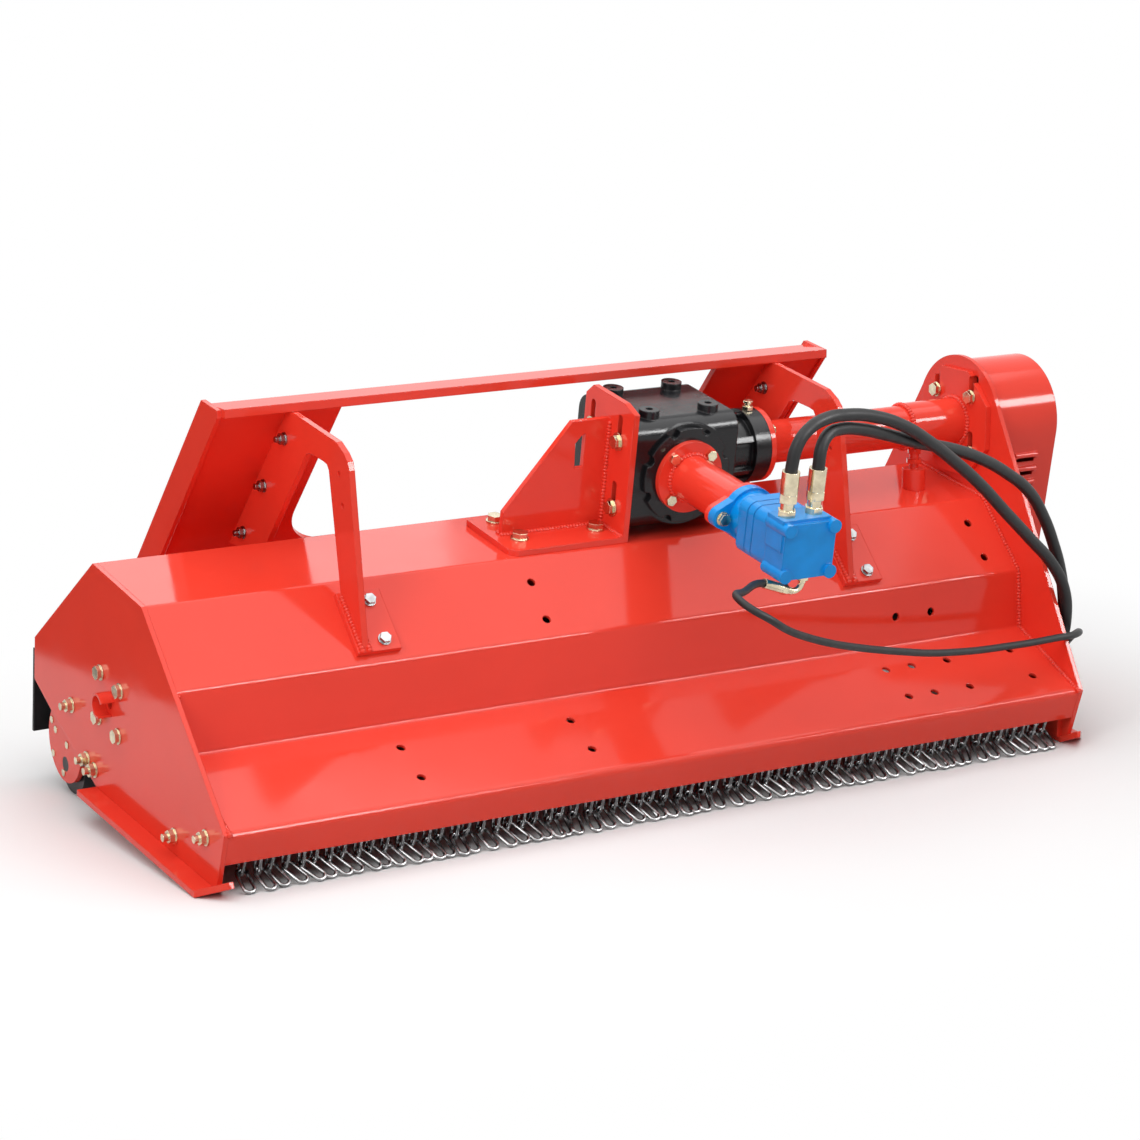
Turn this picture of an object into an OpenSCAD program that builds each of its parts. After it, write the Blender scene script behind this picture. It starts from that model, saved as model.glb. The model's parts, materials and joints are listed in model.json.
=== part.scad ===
// Flail mower for a skid-steer loader, standing on its skids and its rear roller.
// Millimetres. In the layout X runs along the hood from its middle, Y runs back from the nose, and Z runs up
// from a level that lies above the ground by the lift.

/* [Hood] */
// Width of the hood between the end plates
hood_width = 1555; // [1300:1:1800]
// Thickness of the two end plates
end_plate = 8; // [6:1:12]
// Thickness of the folded hood sheet
sheet = 5; // [4:0.5:7]
// Inside radius of the hood's folds
bend = 6; // [4:1:9]
// Height of the nose fold in the layout
nose_height = 84; // [76:1:100]
// Drop of the lip under the nose
lip_drop = 50; // [40:1:52]
// Distance that the lip leans back
lip_back = 18; // [10:1:20]
// Depth of the front shelf
shelf_run = 163; // [140:1:190]
// Rise of the front shelf
shelf_rise = 76; // [60:1:90]
// Lean of the upright band
band_run = 7; // [2:1:20]
// Height of the upright band
band_rise = 97; // [80:1:110]
// Depth of the front slope
slope_run = 104; // [90:1:120]
// Rise of the front slope
slope_rise = 108; // [95:1:120]
// Depth of the top deck
deck_run = 182; // [170:1:210]
// Slope of the top deck, in degrees
deck_tilt = 9.5; // [7:0.5:11]
// Depth of the rear slope
tail_run = 250; // [235:1:270]
// Fall of the rear slope
tail_fall = 170; // [150:1:185]
// Height of the rear upright
tail_drop = 70; // [50:1:80]
// Diameter of the spare fixing holes in the hood
spare_hole = 13; // [9:1:15]

/* [Rotor] */
// Distance of the rotor axis behind the nose
rotor_back = 406; // [400:1:418]
// Height of the rotor axis
rotor_height = 185; // [180:1:195]
// Diameter of the rotor drum
drum_diameter = 100; // [80:1:106]
// Wall of the rotor drum
drum_wall = 10; // [6:1:14]
// Diameter of the rotor shaft
rotor_shaft = 40; // [30:1:45]
// Distance from the rotor axis to the hammer pins
hammer_pivot = 80; // [78:1:84]
// Distance from a hammer pin to the hammer's edge
hammer_reach = 70; // [60:1:74]
// Width of a hammer head
hammer_width = 104; // [80:1:112]
// Thickness of a hammer head
hammer_thick = 22; // [16:1:24]
// Diameter of the hammer pins
hammer_pin = 16; // [12:1:18]
// Number of hammers, in two rows
hammer_count = 12; // [12]

/* [Skids and roller] */
// Width of a skid that stands outside its end plate
skid_out = 32; // [28:1:45]
// Width of a skid inside its end plate
skid_in = 4; // [0:1:8]
// Thickness of the skids
skid_thick = 10; // [6:1:12]
// Diameter of the rear roller
roller_diameter = 100; // [80:1:110]
// Distance of the roller axis behind the nose
roller_back = 614; // [606:1:622]
// Diameter of the roller axle ends
roller_axle = 24; // [16:1:30]
// Radius of the roller bracket lobe
lobe_radius = 66; // [55:1:72]

/* [Chain curtain] */
// Chains in each of the four curtain sections
chains_each = 16; // [12:1:16]
// Spacing of the chains
chain_pitch = 23.4; // [22:0.1:23.6]
// Wire diameter of a chain link
chain_wire = 6; // [4:0.5:6]
// Diameter of the curtain rod
curtain_rod_diameter = 10; // [8:1:11]
// Distance of the curtain rod behind the nose
curtain_back = 33; // [32:1:38]
// Height of the curtain rod
curtain_height = 56; // [56:1:60]

/* [Drive] */
// Distance of the gearbox middle from the hood middle
gear_x = 159.5; // [100:0.5:180]
// Distance of the cross shaft behind the nose
cross_back = 350; // [344:1:360]
// Height of the cross shaft
cross_height = 487; // [484:1:500]
// Width of the gearbox casting
gear_block = 192; // [180:1:196]
// Diameter of the cross tube
cross_tube = 72; // [64:1:80]
// Wall of the cross tube
cross_wall = 6; // [4:1:8]
// Diameter of the cross shaft
cross_shaft = 36; // [25:1:40]
// Diameter of the motor adapter tube
adapter_tube = 76; // [68:1:84]
// Length of the motor adapter between its flanges
adapter_length = 152; // [130:1:170]
// Bolt spacing of the motor's two-bolt flange
motor_bolts = 106.4; // [98:0.1:115]
// Length of the motor behind its flange
motor_length = 162; // [150:1:180]
// Width of the motor body
motor_width = 90; // [80:1:96]
// Radius of the belt cover
cover_radius = 104; // [96:1:108]
// Depth of the belt cover
cover_depth = 126; // [110:1:140]
// Outer radius of the two belt pulleys
pulley_radius = 72; // [60:1:80]

/* [Loader mount] */
// Length of the mount's top bar
mount_width = 1120; // [1100:1:1180]
// Distance of the mount's middle from the hood middle
mount_shift = -21; // [-40:1:0]
// Lean of the mount plate from upright, in degrees
mount_lean = 41.5; // [38:0.5:43]
// Height of the mount plate along its face
mount_length = 430; // [410:1:440]
// Thickness of the mount plate
mount_thick = 10; // [8:1:12]
// Width of each side of the mount plate
mount_side = 210; // [190:1:220]
// Thickness of the mount brackets
bracket_thick = 10; // [8:1:14]
// Width of the bracket post
post_width = 68; // [60:1:76]
// Spacing of the two foot bolts
foot_pitch = 70; // [60:1:76]

/* [Hidden] */
$fn = 48;
run_fit = 0.05;
slack = 0.5;
paint = "#e2382a";
black = "#1b1c1e";
zinc = "#c9b063";
steel = "#a9adb2";
motor_blue = "#0a84cc";
rubber = "#2b2e2f";

half = hood_width / 2;
outer = half + end_plate;
// Height of the layout's zero level above the ground
lift = 14;

// Folds of the hood section, from the lip round to the tail
fold_e = [0, nose_height];
fold_f = fold_e + [lip_back, -lip_drop];
fold_d = fold_e + [shelf_run, shelf_rise];
fold_c = fold_d + [band_run, band_rise];
fold_b = fold_c + [slope_run, slope_rise];
fold_a = fold_b + [deck_run, deck_run * tan(deck_tilt)];
fold_r = fold_a + [tail_run, -tail_fall];
tail_lean = 8;
fold_t = fold_r + [tail_lean, -tail_drop];
profile = [fold_f, fold_e, fold_d, fold_c, fold_b, fold_a, fold_r, fold_t];

function unit(v) = v / norm(v);
function right_of(v) = [v[1], -v[0]];
function inset(p, i, t) =
    let (last = len(p) - 1)
    let (a = unit(i == 0 ? p[1] - p[0] : p[i] - p[i - 1]))
    let (b = unit(i == last ? p[last] - p[last - 1] : p[i + 1] - p[i]))
    p[i] + (right_of(a) + right_of(b)) * t / (1 + a * b);
inner = [for (i = [0 : len(profile) - 1]) inset(profile, i, sheet)];

// Points round one fold, on the outer face for off = 0 and on the inner face for off = sheet
fold_steps = 5;
function fold_arc(i, off) =
    let (a = unit(profile[i] - profile[i - 1]), b = unit(profile[i + 1] - profile[i]))
    let (start = atan2(a[1], a[0]), turn = atan2(a[0] * b[1] - a[1] * b[0], a * b))
    let (back = turn < 0 ? bend + sheet : -bend)
    let (centre = inset(profile, i, back))
    [for (k = [0 : fold_steps])
        let (way = start + turn * k / fold_steps)
        centre + right_of([cos(way), sin(way)]) * (off - back)];

// Skids: a flat bar from the rear end down to the heel, then up to the tip
skid_rear = [472, 27];
skid_heel = [40, -lift];
skid_tip = [-6, 6];
skid_line = [skid_rear, skid_heel, skid_tip];
skid_top = [for (i = [0 : 2]) inset(skid_line, i, skid_thick)];

// Rotor
rotor_axis = [rotor_back, rotor_height];
bearing_depth = 34;
bearing_gap = 10;
drum_half = half - bearing_depth - bearing_gap;
hammer_pitch = 2 * drum_half / hammer_count;
hammer_neck = 44;
hammer_eye = hammer_pin / 2 + 8;
lug_thick = 8;
lug_side = 1;
lug_radius = hammer_pin / 2 + 7;
head_start = lug_radius + hammer_thick / 2 + 3;
head_flare = 12;
bearing_bolt_square = 75;
bearing_turn = -10;
bearing_hub = 40;
grease_hole = 14;

// Belt drive
cross_axis = [cross_back, cross_height];
belt_gap = 22;
belt_pitch = 17;
belt_count = 3;
belt_width = 13;
groove_depth = 10;
pulley_width = belt_count * belt_pitch + 4;
cover_wall = 3;
case_margin = 9;
belt_length = norm(cross_axis - rotor_axis);
belt_angle = atan2(cross_axis[1] - rotor_axis[1], cross_axis[0] - rotor_axis[0]);

// Gearbox, in its own frame: cross shaft along X, motor towards -Y, turned with the deck
block_half = gear_block / 2;
gear_depth = 92;
deck_down = (cross_axis - fold_b) * [-sin(deck_tilt), cos(deck_tilt)];
plate_thick = 10;
stand_front = -92;
stand_rear = 57;
stand_top = 119;
stand_foot = 205;
slot_y = [-52, 32];
slot_z = [52, -60];
base_bolt_x = [-block_half - plate_thick - 165, -block_half - plate_thick - 24];
base_bolt_y = [-45, 36];
input_shaft = 32;
cover_thick = 8;
flange_thick = 10;
hub_length = 94;
hub_radius = 62;
flange_radius = 60;
adapter_start = -gear_depth - cover_thick;
adapter_end = adapter_start - 2 * flange_thick - adapter_length;
motor_flange = 16;
cap_length = 50;
motor_end = adapter_end - motor_flange - motor_length;
boss_out = 6;
boss_in = 8;
boss_radius = 11;
port_y = motor_end + 28;
port_x = [-30, 20];
port_height = motor_width / 2 + 6;
drain_x = 8;
drain_y = motor_end + 20;

// Loader mount, in its own frame: X along, Z up the plate, +Y to the loader
mount_top = [424, 608];
lip_front = 17;
lip_depth = 62;
lip_thick = 14;
stop_depth = 52;
stop_thick = 8;
stop_length = 430;
lug_length = 330;
lug_plate = 10;
lug_bolt_z = [-40, -158, -279];
window_round = 100;
mount_bolt = 10;
post_holes = [[247, 538], [237, 491]];
post_hole = 8;
foot_left = 8;
bottom_band = 60;
bracket_x = [-468.5, 429.5];
foot_width = 66;
foot_length = 108;
foot_thick = 10;
foot_start = 16;
foot_bolt_x = 42;
slope_bolt_start = 34;

// Middle of the whole part on the ground
front_y = cross_back + (motor_end - boss_out) * cos(deck_tilt)
    - (motor_width / 2 - boss_in + boss_radius) * sin(deck_tilt);
rear_y = mount_top[0] + stop_depth * cos(mount_lean) + stop_length * sin(mount_lean);
mid_x = cover_depth / 2 - skid_out / 2;
mid_y = (front_y + rear_y) / 2;

module place() {
    translate([-mid_x, -mid_y, lift]) children();
}

// Extrudes a section drawn as [Y, Z] along X
module spread(width, start) {
    translate([start, 0, 0]) rotate([90, 0, 90]) linear_extrude(width) children();
}

module bar(start, end, radius) {
    translate([start, 0, 0]) rotate([0, 90, 0]) cylinder(h = end - start, r = radius);
}

module at(p) {
    translate([0, p[0], p[1]]) children();
}

// Stands on the line from p to q, s along it, with Z square to it
module on_line(p, q, s) {
    at(p + unit(q - p) * s) rotate([atan2(q[1] - p[1], q[0] - p[0]), 0, 0]) children();
}

module in_gearbox() {
    translate([gear_x, cross_back, cross_height]) rotate([deck_tilt, 0, 0]) children();
}

module on_mount() {
    translate([mount_shift, mount_top[0], mount_top[1]]) rotate([mount_lean, 0, 0]) children();
}

// Bolt along -Z with its washer on z = 0 and its nut under the grip
module bolt(size, grip) {
    washer = size * 0.2;
    cylinder(h = washer, r = size * 1.05);
    translate([0, 0, washer]) cylinder(h = size * 0.65, r = size * 0.95, $fn = 6);
    translate([0, 0, -grip - size * 1.1]) cylinder(h = grip + size * 1.1 + washer, r = size / 2);
    translate([0, 0, -grip - size * 0.8]) cylinder(h = size * 0.8, r = size * 0.95, $fn = 6);
}

// Bolt from inside, with its washer, nut and thread end on z = 0
module stud(size, grip) {
    washer = size * 0.2;
    nut = size * 0.8;
    cylinder(h = washer, r = size * 1.05);
    translate([0, 0, washer]) cylinder(h = nut, r = size * 0.9, $fn = 6);
    translate([0, 0, -grip - 1]) cylinder(h = grip + 1 + washer + nut + size * 0.7, r = size / 2);
    translate([0, 0, -grip - size * 0.65]) cylinder(h = size * 0.65, r = size * 0.95, $fn = 6);
}

module screw(size, depth) {
    cylinder(h = size * 0.65, r = size * 0.95, $fn = 6);
    translate([0, 0, -depth]) cylinder(h = depth, r = size / 2);
}

module hole(size, depth) {
    translate([0, 0, -depth - 1]) cylinder(h = depth + 2, r = size / 2 + slack);
}

module slot(size, depth, travel) {
    hole(size, depth);
    translate([travel, 0, 0]) hole(size, depth);
    translate([0, -size / 2 - slack, -depth - 1]) cube([travel, size + 2 * slack, depth + 2]);
}

module rounded(w, d, r) {
    square([w - 2 * r, d], center = true);
    square([w, d - 2 * r], center = true);
    for (x = [-1, 1], y = [-1, 1]) translate([x * (w / 2 - r), y * (d / 2 - r)]) circle(r);
}

// Hood
slope_hole_x = [-136.5, 721.5];
shelf_hole_x = [-438, -140, 463, 515, 587, 718];
band_hole_x = [519, 591];
slope_hole_s = [34, 103];
shelf_hole_s = [55, 126];

module foot_bolt_places() {
    for (x = bracket_x, s = [0, foot_pitch])
        translate([x + foot_bolt_x, 0, 0]) on_line(fold_c, fold_b, slope_bolt_start + s)
            translate([0, 0, foot_thick]) children();
}

module base_bolt_places() {
    in_gearbox() for (x = base_bolt_x, y = base_bolt_y)
        translate([x, y, plate_thick - deck_down]) children();
}

module sheet_run(from, to) {
    outside = [for (i = [from + 1 : to - 1]) each fold_arc(i, 0)];
    inside = [for (i = [from + 1 : to - 1]) each fold_arc(i, sheet)];
    back = concat([inner[from]], inside, [inner[to]]);
    polygon(concat([profile[from]], outside, [profile[to]], [for (i = [len(back) - 1 : -1 : 0]) back[i]]));
}

module hood_sheet() {
    color(paint) place() difference() {
        spread(hood_width, -half) sheet_run(0, 5);
        for (x = slope_hole_x, s = slope_hole_s)
            translate([x, 0, 0]) on_line(fold_c, fold_b, s) hole(spare_hole, sheet);
        for (x = shelf_hole_x, s = shelf_hole_s)
            translate([x, 0, 0]) on_line(fold_e, fold_d, s) hole(spare_hole, sheet);
        for (x = band_hole_x)
            translate([x, 0, 0]) on_line(fold_d, fold_c, band_rise / 2) hole(spare_hole, sheet);
        foot_bolt_places() hole(mount_bolt, foot_thick + sheet);
        base_bolt_places() hole(stand_bolt, plate_thick + sheet);
    }
}

module rear_sheet() {
    color(paint) place() difference() {
        spread(hood_width, -half) sheet_run(5, 7);
        flap_bolt_places() hole(8, flap_thick + strip_thick + sheet);
    }
}

flap_thick = 6;
strip_thick = 4;
strip_height = 36;
flap_start = 20;
flap_length = 142;
flap_bolt_count = 7;

module flap_bolt_places() {
    for (i = [0 : flap_bolt_count - 1])
        translate([(i - (flap_bolt_count - 1) / 2) * (hood_width - 120) / (flap_bolt_count - 1), 0, 0])
            on_line(fold_r, fold_t, flap_start + strip_height / 2)
                translate([0, 0, flap_thick + strip_thick]) children();
}

module rear_flap() {
    color(rubber) place() difference() {
        on_line(fold_r, fold_t, flap_start) translate([-half - end_plate, 0, 0])
            cube([hood_width + 2 * end_plate, flap_length, flap_thick]);
        flap_bolt_places() hole(8, flap_thick + strip_thick + sheet);
    }
}

module flap_strip() {
    color(paint) place() difference() {
        on_line(fold_r, fold_t, flap_start) translate([-half, 0, flap_thick])
            cube([hood_width, strip_height, strip_thick]);
        flap_bolt_places() hole(8, flap_thick + strip_thick + sheet);
    }
}

// End plates and what is bolted to them
plate_notch = [647, 119];
plate_toe = skid_top[1] + (skid_top[2] - skid_top[1]) * 0.3;
bracket_thin = 8;
roller_axis = [roller_back, roller_diameter / 2 - lift];
stud_points = [[558, 148], [502, 74], [472, 64]];
skid_points = [[62, 66], [174, 38]];
rivet_points = [[664, 98], [649, 85], [604, 70], [662, 43], [622, 20]];
side_bolt = 12;

// Places on the outer face of one end plate, with Z pointing outwards
module on_side(side, p) {
    translate([side * outer, p[0], p[1]]) rotate([0, side * 90, 0]) children();
}

module bearing_bolt_places(side) {
    for (a = [45 : 90 : 315])
        let (r = bearing_bolt_square / sqrt(2))
        on_side(side, rotor_axis + r * [cos(a - bearing_turn), sin(a - bearing_turn)]) children();
}

module end_plate_holes(side) {
    deep = end_plate;
    on_side(side, rotor_axis) hole(side > 0 ? rotor_shaft + 12 : grease_hole, deep);
    bearing_bolt_places(side) hole(side_bolt, deep);
    for (p = concat(stud_points, skid_points)) on_side(side, p) hole(side_bolt, deep);
}

function tangent(p, centre, r, way) =
    let (d = centre - p)
    let (a = atan2(d[1], d[0]) + way * asin(r / norm(d)))
    p + sqrt(d * d - r * r) * [cos(a), sin(a)];

lower_edge = [fold_t, plate_notch, skid_top[0], skid_top[1], plate_toe];

module left_end_plate() {
    color(paint) place() difference() {
        spread(end_plate, -outer) polygon(concat([fold_e, fold_b, fold_a, fold_r], lower_edge));
        end_plate_holes(-1);
    }
}

// The right end plate reaches up as the back of the belt case
case_radius = cover_radius + case_margin;
case_rear = fold_a + (fold_r - fold_a) * 0.62;
case_front_touch = tangent(fold_e, cross_axis, case_radius - 1, 1);
case_rear_touch = tangent(case_rear, cross_axis, case_radius - 1, -1);

module right_end_plate() {
    color(paint) place() difference() {
        union() {
            spread(end_plate, half) polygon(concat(
                [fold_e, case_front_touch, cross_axis, case_rear_touch, case_rear, fold_r], lower_edge));
            at(cross_axis) bar(half, outer, case_radius);
        }
        end_plate_holes(1);
        on_side(1, cross_axis) hole(cross_shaft + 24, end_plate);
        tube_slot_places() slot(tube_bolt, end_plate + tube_plate, tube_slot);
    }
}

module skid(side) {
    inside = half - skid_in;
    width = outer + skid_out - inside;
    color(paint) place() difference() {
        union() {
            spread(width, side > 0 ? inside : -inside - width)
                polygon(concat(skid_line, [for (i = [2 : -1 : 0]) skid_top[i]]));
            spread(bracket_thin, side > 0 ? half - bracket_thin : -half)
                polygon([skid_at(44) - [0, 2], [44, 86], [96, 86], [200, 62], skid_at(210) - [0, 2]]);
        }
        for (p = skid_points) on_side(side, p) hole(side_bolt, end_plate + bracket_thin);
        translate([0, 0, -2 * lift]) linear_extrude(4 * lift) polygon([
            [side * (outer + skid_out + 1), skid_heel[0]], [side * inside, skid_tip[0] - 5],
            [side * (outer + skid_out + 1), skid_tip[0] - 5]]);
    }
}

function skid_at(y) =
    skid_top[1] + (skid_top[0] - skid_top[1]) * (y - skid_top[1][0]) / (skid_top[0][0] - skid_top[1][0]);

module left_skid() {
    skid(-1);
}

module right_skid() {
    skid(1);
}

module rotor_bearings() {
    flange = 12;
    color(black) place() for (side = [-1, 1]) difference() {
        on_side(side, rotor_axis) rotate([0, 0, -side * bearing_turn]) translate([0, 0, -end_plate - flange]) {
            linear_extrude(flange) rounded(bearing_bolt_square + 30, bearing_bolt_square + 30, 14);
            translate([0, 0, flange - bearing_depth]) cylinder(h = bearing_depth, r = bearing_hub);
        }
        on_side(side, rotor_axis)
            translate([0, 0, -200]) cylinder(h = 400, r = rotor_shaft / 2 + run_fit);
        bearing_bolt_places(side) hole(side_bolt, end_plate + flange);
    }
}

// Open ring that guards the grease point in the middle of the left bearing
module grease_guard() {
    ring = 20;
    color(paint) place() on_side(-1, rotor_axis) difference() {
        cylinder(h = 22, r = ring);
        translate([0, 0, -1]) cylinder(h = 24, r = ring - 4);
        rotate([0, 0, 200]) translate([0, 0, -1]) cube([60, 34, 24]);
    }
}

module side_bolts() {
    flange = 12;
    color(zinc) place() for (side = [-1, 1]) {
        bearing_bolt_places(side) bolt(side_bolt, end_plate + flange);
        for (p = concat(stud_points, skid_points)) on_side(side, p) stud(side_bolt, end_plate + bracket_thin);
        for (p = rivet_points) on_side(side, p) translate([0, 0, -end_plate]) cylinder(h = 1.5, r = 6);
    }
    color(zinc) place() flap_bolt_places() bolt(8, flap_thick + strip_thick + sheet);
}

module roller_brackets() {
    lobe = [roller_back, lobe_radius + 6];
    color(paint) place() for (side = [-1, 1]) difference() {
        spread(bracket_thin, side > 0 ? half - bracket_thin : -half) {
            polygon([[450, 50], [450, 86], [538, 170], [606, 170], lobe + [lobe_radius, 10], lobe]);
            translate(lobe) circle(lobe_radius);
        }
        on_side(side, roller_axis) hole(roller_axle - 2 * slack + 2 * run_fit, end_plate + bracket_thin);
        for (p = stud_points) on_side(side, p) hole(side_bolt, end_plate + bracket_thin);
    }
}

module rear_roller() {
    end_gap = 4;
    roller_end = 20;
    roller_wall = 6;
    length = half - bracket_thin - end_gap;
    color(black) place() at(roller_axis) {
        difference() {
            bar(-length, length, roller_diameter / 2);
            bar(-length + roller_end, length - roller_end, roller_diameter / 2 - roller_wall);
        }
        bar(-half, -length + 60, roller_axle / 2);
        bar(length - 60, half, roller_axle / 2);
    }
}

// Rotor with its hammer lugs and pins, and the hammers
function hammer_x(i) = (i - (hammer_count - 1) / 2) * hammer_pitch;
function hammer_way(i) = i % 2 == 0 ? -1 : 1;

module rotor() {
    lug_x = hammer_neck / 2 + lug_side;
    color("#3a3b3d") place() at(rotor_axis) {
        difference() {
            bar(-drum_half, drum_half, drum_diameter / 2);
            bar(-drum_half + 20, drum_half - 20, drum_diameter / 2 - drum_wall);
        }
        bar(-half + 2, -drum_half, rotor_shaft / 2);
        bar(drum_half, outer + belt_gap + pulley_width + 6, rotor_shaft / 2);
        for (i = [0 : hammer_count - 1]) translate([hammer_x(i), 0, 0]) {
            for (side = [-1, 1])
                spread(lug_thick, side > 0 ? lug_x : -lug_x - lug_thick) lug_outline(hammer_way(i));
            translate([0, hammer_way(i) * hammer_pivot, 0])
                bar(-lug_x - lug_thick - 4, lug_x + lug_thick + 4, hammer_pin / 2);
        }
    }
}

module lug_outline(way) {
    start = drum_diameter / 2 - drum_wall + 4;
    translate([way * hammer_pivot, 0]) circle(lug_radius);
    polygon([
        [way * start, -lug_radius], [way * hammer_pivot, -lug_radius],
        [way * hammer_pivot, lug_radius], [way * start, lug_radius]]);
}

module hammer(i) {
    edge = 7;
    bevel_height = 16;
    neck = hammer_neck / 2;
    wide = hammer_width / 2;
    thick = hammer_thick / 2;
    color("#4b4d50") place()
        translate([hammer_x(i), rotor_axis[0] + hammer_way(i) * hammer_pivot, rotor_axis[1]])
            difference() {
                union() {
                    bar(-neck, neck, hammer_eye);
                    intersection() {
                        rotate([90, 0, 0]) linear_extrude(hammer_thick, center = true) polygon([
                            [-neck, 0], [-neck, -head_start], [-wide, -head_start - head_flare],
                            [-wide, -hammer_reach], [wide, -hammer_reach],
                            [wide, -head_start - head_flare], [neck, -head_start], [neck, 0]]);
                        spread(hammer_width, -wide) polygon([
                            [-thick, 0], [-thick, -hammer_reach + bevel_height], [-edge / 2, -hammer_reach],
                            [edge / 2, -hammer_reach], [thick, -hammer_reach + bevel_height], [thick, 0]]);
                    }
                }
                bar(-hammer_width, hammer_width, hammer_pin / 2 + 2 * run_fit);
            }
}

// Chain curtain: an upright link on the rod and a lower link that leans on the ground
link_lean = 16.5;
upper_run = 24;
lower_run = 28;
lower_inside = 9.4;
upper_inside = curtain_rod_diameter + 2 * slack;
link_play = 0.4;
wire_sides = 16;
hang = upper_run + (upper_inside - chain_wire) / 2 - link_play;
lower_top = [hang * sin(link_lean), -hang * cos(link_lean)];
lower_span = lower_run + lower_inside + chain_wire;
ground_gap = 2;
lower_drop = curtain_height + lift + lower_top[1] - chain_wire / 2 - ground_gap;
lower_slope = asin(min(0.96, lower_drop / lower_span));
slope_less = [0, 9, 3, 6, 1];

// A chain link in the XZ plane, its top arc round the origin
module chain_link(straight, inside) {
    r = (inside + chain_wire) / 2;
    for (end = [0, 1]) translate([0, 0, -end * straight]) rotate([end == 0 ? 90 : -90, 0, 0])
        rotate_extrude(angle = 180, $fn = 24) translate([r, 0]) circle(d = chain_wire, $fn = wire_sides);
    for (side = [-1, 1]) translate([side * r, 0, -straight])
        cylinder(h = straight, d = chain_wire, $fn = wire_sides);
}

module one_chain(slope) {
    rotate([link_lean, 0, 0]) rotate([0, 0, 90]) chain_link(upper_run, upper_inside);
    at(lower_top) rotate([slope - 90, 0, 0])
        translate([0, 0, -(lower_inside + chain_wire) / 2]) chain_link(lower_run, lower_inside);
}

module chain_section(i) {
    color(steel) place() at([curtain_back, curtain_height])
        for (k = [0 : chains_each - 1])
            translate([(i * chains_each + k - 2 * chains_each + 0.5) * chain_pitch, 0, 0])
                one_chain(lower_slope - slope_less[k % len(slope_less)]);
}

module curtain_rod() {
    color(steel) place() at([curtain_back, curtain_height]) bar(-half, half, curtain_rod_diameter / 2 - 0.1);
}

// Gearbox stand: base and upright of bent plate with a gusset across them
gusset_y = -17;
stand_bolt = 14;

module slot_bolt_places() {
    in_gearbox() for (y = slot_y, z = slot_z)
        translate([-block_half - plate_thick, y, z]) rotate([0, -90, 0]) children();
}

module gearbox_bracket() {
    left = -block_half - plate_thick;
    depth = stand_rear - stand_front;
    base = plate_thick - deck_down;
    height = stand_top + deck_down;
    slot_travel = 38;
    color(paint) place() difference() {
        in_gearbox() {
            translate([left, 0, -deck_down]) rotate([90, 0, 90]) linear_extrude(plate_thick) polygon([
                [stand_front, 0], [stand_rear, 0], [stand_rear, height - 18], [stand_rear - 20, height],
                [stand_front + 32, height], [stand_front, height - 10]]);
            translate([left - stand_foot, 0, -deck_down]) linear_extrude(plate_thick) polygon([
                [14, stand_front], [stand_foot + 1, stand_front], [stand_foot + 1, stand_rear], [0, stand_rear],
                [0, stand_front + 14]]);
            translate([left, gusset_y + plate_thick / 2, base]) rotate([90, 0, 0]) linear_extrude(plate_thick)
                difference() {
                    polygon([[0.5, 0], [-185, 0], [-185, 38], [-70, 180], [0.5, 180]]);
                    polygon([[-60, 100], [-44, 100], [-44, 158], [-52, 154], [-62, 142]]);
                }
        }
        slot_bolt_places() slot(stand_bolt - 2, plate_thick, slot_travel);
        base_bolt_places() hole(stand_bolt, plate_thick);
    }
}

module deck_bolts() {
    color(zinc) place() base_bolt_places() bolt(stand_bolt, plate_thick + sheet);
}

// Gearbox casting, hollow, open at the front and right where its covers sit
bore_front = 44;
bore_right = 50;
cavity = 70;
boss_side = 56;

module gearbox_housing() {
    color(black) place() difference() {
        in_gearbox() {
            translate([-block_half, 0, 0]) rotate([90, 0, 90])
                linear_extrude(gear_block) rounded(2 * gear_depth, 2 * gear_depth, 30);
            for (x = [-1, 1], y = [-1, 1]) translate([x * boss_side, y * boss_side, gear_depth - 6])
                cylinder(h = 18, r = 17);
            translate([0, -gear_depth + 10, 0]) rotate([90, 0, 0]) cylinder(h = 10, r = 86);
        }
        in_gearbox() {
            cube(2 * cavity, center = true);
            rotate([90, 0, 0]) cylinder(h = 200, r = bore_front);
            bar(0, 200, bore_right);
            for (x = [-1, 1], y = [-1, 1]) translate([x * boss_side, y * boss_side, gear_depth - 4])
                cylinder(h = 30, r = 6);
            adapter_bolt_places() translate([0, 0, -44]) cylinder(h = 60, r = 5 + slack);
        }
        slot_bolt_places() hole(stand_bolt - 2, 34);
    }
}

module adapter_bolt_places() {
    for (a = [45 : 90 : 315]) translate([0, adapter_start - flange_thick, 0]) rotate([90, 0, 0])
        rotate([0, 0, a]) translate([49, 0, 0]) children();
}

module tube_flange_places() {
    for (a = [45 : 90 : 315]) translate([block_half + hub_length + flange_thick, 0, 0]) rotate([0, 90, 0])
        rotate([0, 0, a]) translate([49, 0, 0]) children();
}

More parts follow.
